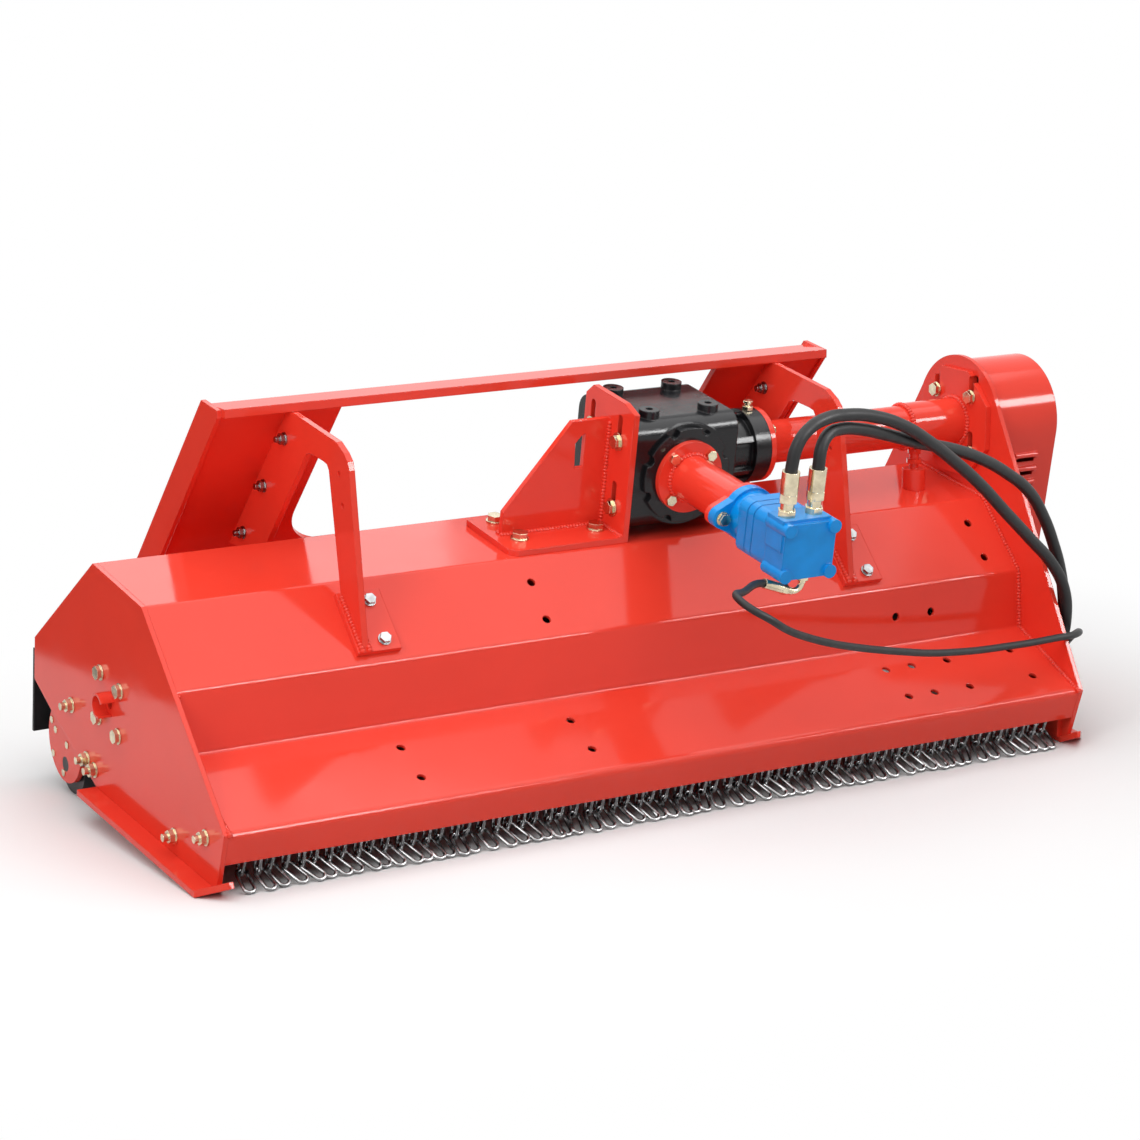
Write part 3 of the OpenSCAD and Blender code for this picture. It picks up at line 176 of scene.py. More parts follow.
# The finish of each material slot: its colour setting, its darkest clouds as a share of that colour, its
# roughness from and to, its bump, and the scales of its fine and coarse grain. The rest is given where it
# isn't the usual one
FINISHES = {
    "hood_paint": dict(
        tone="hood", dark=0.93, metallic=0, rough=(0.07, 0.13), bump=0.03, grain=(300, 45),
        dust=0.02, cloud=5, round_edge=0.002, shine=0.26),
    "black_casting": dict(
        tone="casting", dark=0.6, metallic=0, rough=(0.16, 0.28), bump=0.30, grain=(520, 130),
        round_edge=0.003, coat=0.1, shine=0.3),
    "zinc_plate": dict(
        tone="zinc", dark=0.66, metallic=1, rough=(0.14, 0.26), bump=0.04, grain=(900, 200), cloud=60),
    "plain_steel": dict(
        tone="steel", dark=0.5, metallic=1, rough=(0.16, 0.26), bump=0.10, grain=(800, 150), cloud=45),
    "coupler_steel": dict(
        tone="steel", dark=0.8, metallic=1, rough=(0.25, 0.4), bump=0.06, grain=(900, 200), cloud=40),
    "motor_paint": dict(
        tone="motor", dark=0.86, metallic=0, rough=(0.10, 0.18), bump=0.07, grain=(500, 120),
        cloud=30, round_edge=0.003, shine=0.25),
    "rubber": dict(
        tone="rubber", dark=0.7, metallic=0, rough=(0.42, 0.58), bump=0.12, grain=(700, 90),
        dust=0.01, cloud=25, shine=0.35),
    "dark_steel": dict(
        tone="rotor", dark=0.6, metallic=0.6, rough=(0.45, 0.65), bump=0.25, grain=(400, 80),
        dust=0.03, cloud=25),
    "roller_paint": dict(
        tone="casting", dark=0.7, metallic=0, rough=(0.35, 0.5), bump=0.12, grain=(500, 60),
        dust=0.04, cloud=12),
}

# Steps of a hose along and around, and the hoses' middle lines in the layout, in millimetres, from the motor
# to the couplers
HOSE_STEPS = 6
PRESSURE_ROUTE = [
    (129.5, -83.0, 518.0), (129.5, -87.5, 544.6), (138, -91, 580), (158, -90, 601), (188, -87, 613),
    (238, -78, 614), (305, -66, 602), (363, -54, 581), (427, -38, 546), (491, -20, 505), (559, 0, 457),
    (629, 22, 400), (704, 46, 340), (759, 60, 292), (793, 68, 243), (806, 76, 192), (808, 92, 142),
    (808, 122, 98), (807, 165, 70), (807, 220, 58), (807, 290, 57), (812, 360, 60), (818, 430, 62),
    (820, 478, 54), (820, 520, 33), (820, 560, 14), (820, 595, 5), (820, 620, 4)]
RETURN_ROUTE = [
    (179.5, -83.0, 518.0), (179.5, -87.2, 542.6), (185, -87, 572), (199, -83, 588), (226, -74, 592),
    (272, -62, 586), (331, -46, 570), (415, -20, 544), (511, 8, 518), (580, 28, 493), (647, 48, 460),
    (711, 66, 418), (755, 80, 367), (784, 89, 318), (806, 96, 270), (820, 102, 220), (828, 110, 170),
    (830, 130, 123), (830, 166, 86), (829, 220, 64), (829, 290, 58), (834, 360, 60), (840, 430, 63),
    (843, 478, 54), (848, 520, 33), (855, 560, 14), (858, 595, 5), (858, 620, 4)]
DRAIN_ROUTE = [
    (113.9, -64.3, 357.3), (94.2, -65.5, 364.4), (28, -108, 366), (8, -122, 369), (-2, -148, 366),
    (3, -172, 357), (26, -184, 342), (70, -170, 316), (115, -152, 296), (171, -132, 275), (235, -110, 255),
    (300, -88, 237), (364, -68, 221), (429, -48, 206), (494, -30, 195), (560, -12, 186), (625, 4, 180),
    (689, 18, 175), (750, 31, 172), (793, 39, 170), (822, 60, 166), (842, 88, 158), (857, 125, 138),
    (869, 165, 105), (878, 205, 68), (885, 245, 34), (888, 290, 10), (888, 340, -1), (888, 390, -3),
    (888, 440, -3)]


def row_point(x, y, z):
    """A layout point in millimetres as a point of the part's frame in metres."""
    return (Vector((x, y, z)) - MIDDLE) / METRE


def gear_axis(x, y, z):
    """A direction of the gearbox in the part's frame."""
    return Matrix.Rotation(DECK_TILT, 3, "X") @ Vector((x, y, z))


def gear_point(x, y, z):
    """A point given from the gearbox middle, turned with the deck, in the part's frame."""
    return row_point(*(gear_axis(x, y, z) + GEARBOX))


def slope_point(x, along, off):
    """A point on the front slope, along it from its lower fold and off its face."""
    foot, top = Vector(BAND_TOP), Vector(SLOPE_TOP)
    run = (top - foot).normalized()
    place = foot + along * run + off * Vector((-run.y, run.x))
    return row_point(x, *place)


class MowerFinish(bpy.types.PropertyGroup):
    """Colours of the mower's finishes."""

    hood: FloatVectorProperty(
        name="Hood paint", description="Gloss paint of the hood, skids, stand and mount",
        subtype="COLOR", size=3, min=0, max=1, default=(0.86, 0.052, 0.028))
    motor: FloatVectorProperty(
        name="Motor paint", description="Gloss paint of the hydraulic motor",
        subtype="COLOR", size=3, min=0, max=1, default=(0.002, 0.30, 0.82))
    casting: FloatVectorProperty(
        name="Casting paint", description="Black paint of the gearbox and bearings",
        subtype="COLOR", size=3, min=0, max=1, default=(0.010, 0.010, 0.012))
    zinc: FloatVectorProperty(
        name="Yellow zinc", description="Plating of the bolts and hose fittings",
        subtype="COLOR", size=3, min=0, max=1, default=(0.80, 0.70, 0.50))
    steel: FloatVectorProperty(
        name="Bare steel", description="Chains, shafts and plain bolts",
        subtype="COLOR", size=3, min=0, max=1, default=(0.44, 0.44, 0.445))
    rotor: FloatVectorProperty(
        name="Rotor steel", description="Dark steel of the rotor and hammers",
        subtype="COLOR", size=3, min=0, max=1, default=(0.060, 0.060, 0.064))
    rubber: FloatVectorProperty(
        name="Rubber", description="Hoses, flap and belts",
        subtype="COLOR", size=3, min=0, max=1, default=(0.011, 0.011, 0.012))


class MowerHoses(bpy.types.PropertyGroup):
    """Sizes of the hydraulic hoses."""

    hose: FloatProperty(
        name="Hose diameter", description="Outer diameter of the two work hoses",
        subtype="DISTANCE", unit="LENGTH", min=0.016, max=0.022, default=0.020)
    drain: FloatProperty(
        name="Drain diameter", description="Outer diameter of the drain line",
        subtype="DISTANCE", unit="LENGTH", min=0.008, max=0.014, default=0.012)


class MowerWelds(bpy.types.PropertyGroup):
    """Sizes of the weld beads."""

    width: FloatProperty(
        name="Bead radius", description="Radius of one ripple of a weld bead",
        subtype="DISTANCE", unit="LENGTH", min=0.002, max=0.006, default=0.005)
    pitch: FloatProperty(
        name="Ripple pitch", description="Distance between two ripples of a bead",
        subtype="DISTANCE", unit="LENGTH", min=0.002, max=0.009, default=0.0056)


class MowerChains(bpy.types.PropertyGroup):
    """Sizes of the curtain's chain links."""

    wire: FloatProperty(
        name="Wire", description="Diameter of the wire that the links are bent from",
        subtype="DISTANCE", unit="LENGTH", min=0.004, max=0.006, default=0.006)
    upper: FloatProperty(
        name="Upper link", description="Straight run of the link that hangs on the rod",
        subtype="DISTANCE", unit="LENGTH", min=0.020, max=0.050, default=0.045)
    upper_inside: FloatProperty(
        name="Upper opening", description="Inside width of the link that hangs on the rod",
        subtype="DISTANCE", unit="LENGTH", min=0.010, max=0.014, default=0.011)
    lower: FloatProperty(
        name="Lower link", description="Straight run of the link that lies on the ground",
        subtype="DISTANCE", unit="LENGTH", min=0.020, max=0.035, default=0.026)
    lower_inside: FloatProperty(
        name="Lower opening", description="Inside width of the link that lies on the ground",
        subtype="DISTANCE", unit="LENGTH", min=0.007, max=0.014, default=0.0112)


class MowerFlap(bpy.types.PropertyGroup):
    """Sizes of the rear flap."""

    length: FloatProperty(
        name="Flap length", description="Height of the rubber flap along its face",
        subtype="DISTANCE", unit="LENGTH", min=0.10, max=0.15, default=0.142)
    thick: FloatProperty(
        name="Flap thickness", description="Thickness of the rubber flap",
        subtype="DISTANCE", unit="LENGTH", min=0.004, max=0.008, default=0.006)
    sway: FloatProperty(
        name="Sway", description="Depth of the waves at the flap's free edge",
        subtype="DISTANCE", unit="LENGTH", min=0.0, max=0.020, default=0.012)


class MowerStage(bpy.types.PropertyGroup):
    """Light and camera of the stage."""

    lens: FloatProperty(
        name="Lens", description="Focal length of the camera on a 36 mm sensor",
        subtype="DISTANCE_CAMERA", min=35, max=200, default=105.25)
    top: FloatProperty(
        name="Top light", description="Power of the wide light above the mower",
        subtype="POWER", min=0, max=2000, default=190)
    strip: FloatProperty(
        name="Strip light",
        description="Power of the strip at the front right, which shows only in reflections",
        subtype="POWER", min=0, max=2000, default=290)
    side: FloatProperty(
        name="Side light", description="Power of the light at the left end",
        subtype="POWER", min=0, max=2000, default=62)
    back: FloatProperty(
        name="Back light", description="Power of the light above the rear",
        subtype="POWER", min=0, max=2000, default=40)
    room: FloatProperty(
        name="Room light", description="Strength of the even light from all round",
        subtype="FACTOR", min=0, max=1, default=0.20)
    floor: FloatVectorProperty(
        name="Floor", description="Colour of the floor",
        subtype="COLOR", size=3, min=0, max=1, default=(0.86, 0.86, 0.86))
    bounce: FloatVectorProperty(
        name="Floor bounce", description="Colour of the light that the floor throws back at the mower",
        subtype="COLOR", size=3, min=0, max=1, default=(0.64, 0.64, 0.64))
    footprint: FloatVectorProperty(
        name="Footprint", description="Half length and half depth of the floor that keeps the whole shadow",
        subtype="XYZ", unit="LENGTH", size=2, min=0, max=3, default=(0.84, 0.40))


def node_group(name, inputs, outputs):
    """An empty shader node group with named float inputs and outputs."""
    tree = bpy.data.node_groups.new(name, "ShaderNodeTree")
    for label, value in inputs:
        socket = tree.interface.new_socket(label, in_out="INPUT", socket_type="NodeSocketFloat")
        socket.default_value = value
    for label in outputs:
        tree.interface.new_socket(label, in_out="OUTPUT", socket_type="NodeSocketFloat")
    return tree, tree.nodes.new("NodeGroupInput"), tree.nodes.new("NodeGroupOutput")


def mottle_group():
    """Soft cloudy variation between two values."""
    tree, source, result = node_group(
        "Mottle", [("Scale", 20.0), ("Low", 0.0), ("High", 1.0)], ["Value"])
    place = tree.nodes.new("ShaderNodeTexCoord")
    noise = tree.nodes.new("ShaderNodeTexNoise")
    noise.inputs["Detail"].default_value = CLOUD_DETAIL
    spread = tree.nodes.new("ShaderNodeMapRange")
    spread.inputs["From Min"].default_value = CLOUD_SPAN[0]
    spread.inputs["From Max"].default_value = CLOUD_SPAN[1]
    tree.links.new(place.outputs["Object"], noise.inputs["Vector"])
    tree.links.new(source.outputs["Scale"], noise.inputs["Scale"])
    tree.links.new(noise.outputs["Fac"], spread.inputs["Value"])
    tree.links.new(source.outputs["Low"], spread.inputs["To Min"])
    tree.links.new(source.outputs["High"], spread.inputs["To Max"])
    tree.links.new(spread.outputs["Result"], result.inputs["Value"])
    return tree


def grain_group():
    """Fine and coarse grain as a height."""
    tree, source, result = node_group("Grain", [("Fine", 600.0), ("Coarse", 60.0)], ["Height"])
    place = tree.nodes.new("ShaderNodeTexCoord")
    fine = tree.nodes.new("ShaderNodeTexNoise")
    coarse = tree.nodes.new("ShaderNodeTexNoise")
    total = tree.nodes.new("ShaderNodeMath")
    total.operation = "ADD"
    for noise, socket in ((fine, "Fine"), (coarse, "Coarse")):
        tree.links.new(place.outputs["Object"], noise.inputs["Vector"])
        tree.links.new(source.outputs[socket], noise.inputs["Scale"])
    tree.links.new(fine.outputs["Fac"], total.inputs[0])
    tree.links.new(coarse.outputs["Fac"], total.inputs[1])
    tree.links.new(total.outputs["Value"], result.inputs["Height"])
    return tree


def settle_group():
    """Mask of the faint dust that settles on faces that look up."""
    tree, source, result = node_group("Settled dust", [("Amount", 0.05), ("Scale", 9.0)], ["Mask"])
    place = tree.nodes.new("ShaderNodeTexCoord")
    face = tree.nodes.new("ShaderNodeNewGeometry")
    split = tree.nodes.new("ShaderNodeSeparateXYZ")
    noise = tree.nodes.new("ShaderNodeTexNoise")
    upward = tree.nodes.new("ShaderNodeMapRange")
    upward.inputs["From Min"].default_value = DUST_LIMIT
    patchy = tree.nodes.new("ShaderNodeMath")
    patchy.operation = "MULTIPLY"
    scaled = tree.nodes.new("ShaderNodeMath")
    scaled.operation = "MULTIPLY"
    tree.links.new(face.outputs["Normal"], split.inputs["Vector"])
    tree.links.new(split.outputs["Z"], upward.inputs["Value"])
    tree.links.new(place.outputs["Object"], noise.inputs["Vector"])
    tree.links.new(source.outputs["Scale"], noise.inputs["Scale"])
    tree.links.new(upward.outputs["Result"], patchy.inputs[0])
    tree.links.new(noise.outputs["Fac"], patchy.inputs[1])
    tree.links.new(patchy.outputs["Value"], scaled.inputs[0])
    tree.links.new(source.outputs["Amount"], scaled.inputs[1])
    tree.links.new(scaled.outputs["Value"], result.inputs["Mask"])
    return tree


def shared_group(name):
    """The named effect group, built once."""
    makers = {"Mottle": mottle_group, "Grain": grain_group, "Settled dust": settle_group}
    return bpy.data.node_groups.get(name) or makers[name]()


def place_group(material, name, **values):
    """Puts an effect group in a material with its own values."""
    node = material.node_tree.nodes.new("ShaderNodeGroup")
    node.node_tree = shared_group(name)
    for socket, value in values.items():
        node.inputs[socket].default_value = value
    return node


def surface(
        name, tone, dark, metallic, rough, bump, grain,
        dust=0.0, cloud=14.0, round_edge=0.0012, coat=0.0, shine=0.5):
    """A finish: mottled colour and roughness, a fine grain, rounded edges and a little settled dust."""
    colour = getattr(bpy.context.scene.mower_finish, tone)
    material = bpy.data.materials.new(name)
    material.use_nodes = True
    nodes, links = material.node_tree.nodes, material.node_tree.links
    shader = nodes["Principled BSDF"]
    shader.inputs["Metallic"].default_value = metallic
    shader.inputs["Specular IOR Level"].default_value = shine
    shader.inputs["Coat Weight"].default_value = coat
    shader.inputs["Coat Roughness"].default_value = COAT_ROUGHNESS
    mottled = nodes.new("ShaderNodeMix")
    mottled.data_type = "RGBA"
    mottled.inputs["A"].default_value = (*colour, 1)
    mottled.inputs["B"].default_value = (*[channel * dark for channel in colour], 1)
    clouds = place_group(material, "Mottle", Scale=cloud, Low=0.0, High=1.0)
    links.new(clouds.outputs["Value"], mottled.inputs["Factor"])
    last = mottled.outputs["Result"]
    if dust:
        settled = nodes.new("ShaderNodeMix")
        settled.data_type = "RGBA"
        settled.inputs["B"].default_value = DUST_COLOUR
        mask = place_group(material, "Settled dust", Amount=dust, Scale=DUST_SCALE)
        links.new(mask.outputs["Mask"], settled.inputs["Factor"])
        links.new(last, settled.inputs["A"])
        last = settled.outputs["Result"]
    links.new(last, shader.inputs["Base Color"])
    gloss = place_group(material, "Mottle", Scale=cloud * GLOSS_CLOUD, Low=rough[0], High=rough[1])
    links.new(gloss.outputs["Value"], shader.inputs["Roughness"])
    height = place_group(material, "Grain", Fine=grain[0], Coarse=grain[1])
    relief = nodes.new("ShaderNodeBump")
    relief.inputs["Strength"].default_value = bump
    relief.inputs["Distance"].default_value = GRAIN_DEPTH
    edge = nodes.new("ShaderNodeBevel")
    edge.samples = EDGE_SAMPLES
    edge.inputs["Radius"].default_value = round_edge
    links.new(height.outputs["Height"], relief.inputs["Height"])
    links.new(edge.outputs["Normal"], relief.inputs["Normal"])
    links.new(relief.outputs["Normal"], shader.inputs["Normal"])
    return material


def finish(slot):
    """The finish of one material slot, built when it is first asked for."""
    name = slot + "_finish"
    return bpy.data.materials.get(name) or surface(name, **FINISHES[slot])


def deselect():
    """Leaves edit mode and selects nothing."""
    if bpy.context.object and bpy.context.object.mode != "OBJECT":
        bpy.ops.object.mode_set(mode="OBJECT")
    bpy.ops.object.select_all(action="DESELECT")


def dress(piece, slot, body="mower"):
    """Gives a finished piece its material and its body."""
    piece.data.materials.clear()
    piece.data.materials.append(finish(slot))
    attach(piece, body)


def settle(piece):
    """Moves a piece's place into its mesh."""
    deselect()
    piece.select_set(True)
    bpy.context.view_layer.objects.active = piece
    bpy.ops.object.transform_apply(location=True, rotation=True, scale=True)
    return piece


def join(pieces, name):
    """Joins finished meshes into one named piece."""
    deselect()
    for piece in pieces:
        piece.select_set(True)
    bpy.context.view_layer.objects.active = pieces[0]
    bpy.ops.object.join()
    whole = bpy.context.object
    whole.name = name
    whole.data.name = name
    return whole


def ripple(size):
    """One ripple of a weld bead, as a flattened ball at the origin."""
    deselect()
    bpy.ops.mesh.primitive_uv_sphere_add(segments=RIPPLE_SEGMENTS, ring_count=RIPPLE_RINGS, radius=size)
    drop = bpy.context.object
    bpy.ops.object.mode_set(mode="EDIT")
    bpy.ops.mesh.select_all(action="SELECT")
    bpy.ops.transform.resize(value=(RIPPLE_LENGTH, 1, 1))
    bpy.ops.object.mode_set(mode="OBJECT")
    bpy.ops.object.shade_smooth()
    return drop


def bead_line(start, end):
    """A weld bead of overlapping ripples along a straight seam."""
    sizes = bpy.context.scene.mower_welds
    drop = ripple(sizes.width)
    run = end - start
    row = drop.modifiers.new("Row", "ARRAY")
    row.count = int(run.length / sizes.pitch)
    row.use_relative_offset = False
    row.use_constant_offset = True
    row.constant_offset_displace = (run.length / row.count, 0, 0)
    bpy.ops.object.modifier_apply(modifier=row.name)
    drop.rotation_mode = "QUATERNION"
    drop.rotation_quaternion = run.to_track_quat("X", "Z")
    drop.location = start
    return settle(drop)


def bead_ring(centre, axis, radius):
    """A weld bead of overlapping ripples round a tube."""
    sizes = bpy.context.scene.mower_welds
    drop = ripple(sizes.width)
    count = int(2 * math.pi * radius / sizes.pitch)
    bpy.ops.object.mode_set(mode="EDIT")
    bpy.ops.mesh.select_all(action="SELECT")
    bpy.ops.transform.rotate(value=math.pi / 2, orient_axis="Z", center_override=(0, 0, 0))
    bpy.ops.transform.translate(value=(radius, 0, 0))
    bpy.ops.mesh.spin(
        steps=count, dupli=True, angle=2 * math.pi * (count - 1) / count, center=(0, 0, 0), axis=(0, 0, 1))
    bpy.ops.object.mode_set(mode="OBJECT")
    drop.rotation_mode = "QUATERNION"
    drop.rotation_quaternion = Vector(axis).to_track_quat("Z", "Y")
    drop.location = centre
    return settle(drop)


class MOWER_OT_stage(bpy.types.Operator):
    """Makes the floor, the dark card, the lights, and the camera at the photograph's angle"""

    bl_idname = "mower.stage"
    bl_label = "Stage"

    def execute(self, context):
        stage = context.scene.mower_stage
        self.camera(context, stage)
        self.floor(stage)
        self.card()
        self.lights(stage)
        self.sky(context, stage)
        context.scene.view_settings.view_transform = "Standard"
        return {"FINISHED"}

    def camera(self, context, stage):
        """The camera at the place where the photograph was taken from."""
        deselect()
        bpy.ops.object.camera_add(
            location=CAMERA_PLACE, rotation=[math.radians(turn) for turn in CAMERA_TURN])
        camera = context.object
        camera.name = "camera"
        camera.data.lens = stage.lens
        camera.data.sensor_width = SENSOR_WIDTH
        camera.data.clip_end = VIEW_DEPTH
        context.scene.camera = camera

    def seen(self, nodes, links):
        """One on rays that show the background: to the camera, in a reflection or through glass."""
        path = nodes.new("ShaderNodeLightPath")
        first = nodes.new("ShaderNodeMath")
        first.operation = "MAXIMUM"
        second = nodes.new("ShaderNodeMath")
        second.operation = "MAXIMUM"
        links.new(path.outputs["Is Camera Ray"], first.inputs[0])
        links.new(path.outputs["Is Glossy Ray"], first.inputs[1])
        links.new(first.outputs["Value"], second.inputs[0])
        links.new(path.outputs["Is Transmission Ray"], second.inputs[1])
        return second.outputs["Value"]

    def floor(self, stage):
        """A pale floor that keeps the shadow on the footprint and fades to white round it."""
        deselect()
        bpy.ops.mesh.primitive_plane_add(size=FLOOR_SIZE, location=(0, 0, -FLOOR_DROP))
        floor = bpy.context.object
        floor.name = "floor"
        material = bpy.data.materials.new("floor")
        material.use_nodes = True
        nodes, links = material.node_tree.nodes, material.node_tree.links
        shader = nodes["Principled BSDF"]
        shader.inputs["Roughness"].default_value = STAGE_ROUGHNESS
        shader.inputs["Specular IOR Level"].default_value = FLOOR_SHINE
        tone = nodes.new("ShaderNodeMix")
        tone.data_type = "RGBA"
        tone.inputs["A"].default_value = (*stage.bounce, 1)
        tone.inputs["B"].default_value = (*stage.floor, 1)
        links.new(self.seen(nodes, links), tone.inputs["Factor"])
        links.new(tone.outputs["Result"], shader.inputs["Base Color"])
        white = nodes.new("ShaderNodeEmission")
        place = nodes.new("ShaderNodeTexCoord")
        apart = nodes.new("ShaderNodeVectorMath")
        apart.operation = "ABSOLUTE"
        beyond = nodes.new("ShaderNodeVectorMath")
        beyond.operation = "SUBTRACT"
        beyond.inputs[1].default_value = (*stage.footprint, 0)
        outside = nodes.new("ShaderNodeVectorMath")
        outside.operation = "MAXIMUM"
        outside.inputs[1].default_value = (0, 0, 0)
        away = nodes.new("ShaderNodeVectorMath")
        away.operation = "LENGTH"
        far = nodes.new("ShaderNodeMapRange")
        far.interpolation_type = "SMOOTHSTEP"
        far.inputs["From Max"].default_value = FADE_WIDTH
        shown = nodes.new("ShaderNodeMath")
        shown.operation = "MULTIPLY"
        choose = nodes.new("ShaderNodeMixShader")
        links.new(place.outputs["Object"], apart.inputs[0])
        links.new(apart.outputs["Vector"], beyond.inputs[0])
        links.new(beyond.outputs["Vector"], outside.inputs[0])
        links.new(outside.outputs["Vector"], away.inputs[0])
        links.new(away.outputs["Value"], far.inputs["Value"])
        links.new(far.outputs["Result"], shown.inputs[0])
        links.new(self.seen(nodes, links), shown.inputs[1])
        links.new(shown.outputs["Value"], choose.inputs["Fac"])
        links.new(shader.outputs["BSDF"], choose.inputs[1])
        links.new(white.outputs["Emission"], choose.inputs[2])
        links.new(choose.outputs["Shader"], nodes["Material Output"].inputs["Surface"])
        floor.data.materials.append(material)

    def card(self):
        """A dark card on the floor behind the left end, which shows only in reflections."""
        deselect()
        bpy.ops.mesh.primitive_plane_add(size=1, location=CARD_PLACE, rotation=(math.pi / 2, 0, CARD_TURN))
        card = bpy.context.object
        card.name = "dark_card"
        card.scale = (*CARD_SIZE, 1)
        settle(card)
        material = bpy.data.materials.new("dark_card")
        material.use_nodes = True
        shader = material.node_tree.nodes["Principled BSDF"]
        shader.inputs["Base Color"].default_value = CARD_COLOUR
        shader.inputs["Roughness"].default_value = STAGE_ROUGHNESS
        card.data.materials.append(material)
        card.visible_camera = False
        card.visible_diffuse = False
        card.visible_transmission = False
        card.visible_shadow = False

    def lights(self, stage):
        """The soft lamps, all turned to the mower."""
        for name, place, (width, height), power in LAMPS:
            deselect()
            bpy.ops.object.light_add(type="AREA", location=place)
            lamp = bpy.context.object
            lamp.name = name
            lamp.data.shape = "RECTANGLE"
            lamp.data.size = width
            lamp.data.size_y = height
            lamp.data.energy = getattr(stage, power)
            lamp.visible_diffuse = name != REFLECTED_LAMP
            aim = Vector(LAMP_AIM) - Vector(place)
            lamp.rotation_euler = aim.to_track_quat("-Z", "Y").to_euler()

    def sky(self, context, stage):
        """A world that shows white and lights the mower evenly from all round."""
        world = bpy.data.worlds.new("studio")
        context.scene.world = world
        world.use_nodes = True
        nodes, links = world.node_tree.nodes, world.node_tree.links
        nodes.clear()
        result = nodes.new("ShaderNodeOutputWorld")
        room = nodes.new("ShaderNodeBackground")
        room.inputs["Color"].default_value = WHITE
        room.inputs["Strength"].default_value = stage.room
        white = nodes.new("ShaderNodeBackground")
        white.inputs["Color"].default_value = WHITE
        white.inputs["Strength"].default_value = 1.0
        choose = nodes.new("ShaderNodeMixShader")
        links.new(self.seen(nodes, links), choose.inputs["Fac"])
        links.new(room.outputs["Background"], choose.inputs[1])
        links.new(white.outputs["Background"], choose.inputs[2])
        links.new(choose.outputs["Shader"], result.inputs["Surface"])


class MOWER_OT_hoses(bpy.types.Operator):
    """Lays the two work hoses and the drain line along their routes"""

    bl_idname = "mower.hoses"
    bl_label = "Hoses"

    def execute(self, context):
        sizes = context.scene.mower_hoses
        self.hose("pressure_tube", "pressure_hose", PRESSURE_ROUTE, sizes.hose)
        self.hose("return_tube", "return_hose", RETURN_ROUTE, sizes.hose)
        self.hose("drain_tube", "drain_line", DRAIN_ROUTE, sizes.drain)
        return {"FINISHED"}

    def hose(self, name, node, route, diameter):
        """One round hose along its route, in place of its CAD node."""
        curve = bpy.data.curves.new(name, "CURVE")
        curve.dimensions = "3D"
        curve.bevel_depth = diameter / 2
        curve.bevel_resolution = HOSE_STEPS
        curve.resolution_u = HOSE_STEPS
        curve.use_fill_caps = True
        line = curve.splines.new("BEZIER")
        line.bezier_points.add(len(route) - 1)
        for knot, place in zip(line.bezier_points, route):
            knot.co = row_point(*place)
            knot.handle_left_type = knot.handle_right_type = "AUTO"
        piece = bpy.data.objects.new(name, curve)
        bpy.context.scene.collection.objects.link(piece)
        bpy.context.view_layer.update()
        dress(piece, "rubber")
        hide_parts(node)


class MOWER_OT_finishes(bpy.types.Operator):
    """Gives every CAD node the finish of its material slot"""

    bl_idname = "mower.finishes"
    bl_label = "Finishes"

    def execute(self, context):
        for row in frame["record"]["subparts"]:
            node = frame["nodes"][row["node"]]
            node.data.materials.clear()
            node.data.materials.append(finish(row["material_slot"]))
        return {"FINISHED"}


class MOWER_OT_welds(bpy.types.Operator):
    """Runs the weld beads along the seams of the hood, the stand, the brackets and the drive tubes"""

    bl_idname = "mower.welds"
    bl_label = "Weld beads"

    def execute(self, context):
        self.hood()
        self.stand()
        self.brackets()
        self.tubes()
        return {"FINISHED"}

    def hood(self):
        """Beads where the folded sheet meets the end plates."""
        folds = [NOSE, SHELF_TOP, BAND_TOP, SLOPE_TOP, DECK_REAR]
        # The left end plate is flush with the slope and the deck, which leaves no corner for a bead
        flush = (BAND_TOP, SLOPE_TOP)
        runs = []
        for side in (-1, 1):
            for low, high in zip(folds, folds[1:]):
                if side < 0 and low in flush:
                    continue
                x = side * (PLATE_INSIDE - BEAD_INSET)
                runs.append(bead_line(row_point(x, *low), row_point(x, *high)))
        dress(join(runs, "hood_welds"), "hood_paint")

    def stand(self):
        """Beads on both faces of the gearbox stand's gusset and at the foot of its upright."""
        x, z = STAND_UPRIGHT, STAND_FOOT
        front, rear = STAND_EDGES
        runs = [bead_line(gear_point(x - GUSSET_LENGTH, y, z), gear_point(x, y, z)) for y in GUSSET_FACES]
        runs += [bead_line(gear_point(x, y, z), gear_point(x, y, z + GUSSET_HEIGHT)) for y in GUSSET_FACES]
        runs.append(bead_line(gear_point(x, front, z), gear_point(x, rear, z)))
        dress(join(runs, "stand_welds"), "hood_paint")

    def brackets(self):
        """Beads on both sides of each mount bracket, on its foot plate."""
        low, high = BRACKET_SEAM
        runs = []
        for left in BRACKET_LEFT:
            for side in BRACKET_SIDES:
                x = left + side
                runs.append(bead_line(slope_point(x, low, BRACKET_OFF), slope_point(x, high, BRACKET_OFF)))
        dress(join(runs, "bracket_welds"), "hood_paint")

    def tubes(self):
        """Beads round the ends of the motor adapter and along the cross tube."""
        ahead = gear_axis(0, -1, 0)
        rings = [bead_ring(gear_point(0, y, 0), ahead, ADAPTER_RADIUS) for y in ADAPTER_RINGS]
        rings += [
            bead_ring(row_point(x, GEARBOX.y, GEARBOX.z), (1, 0, 0), radius) for x, radius in TUBE_RINGS]
        dress(join(rings, "tube_welds"), "hood_paint")


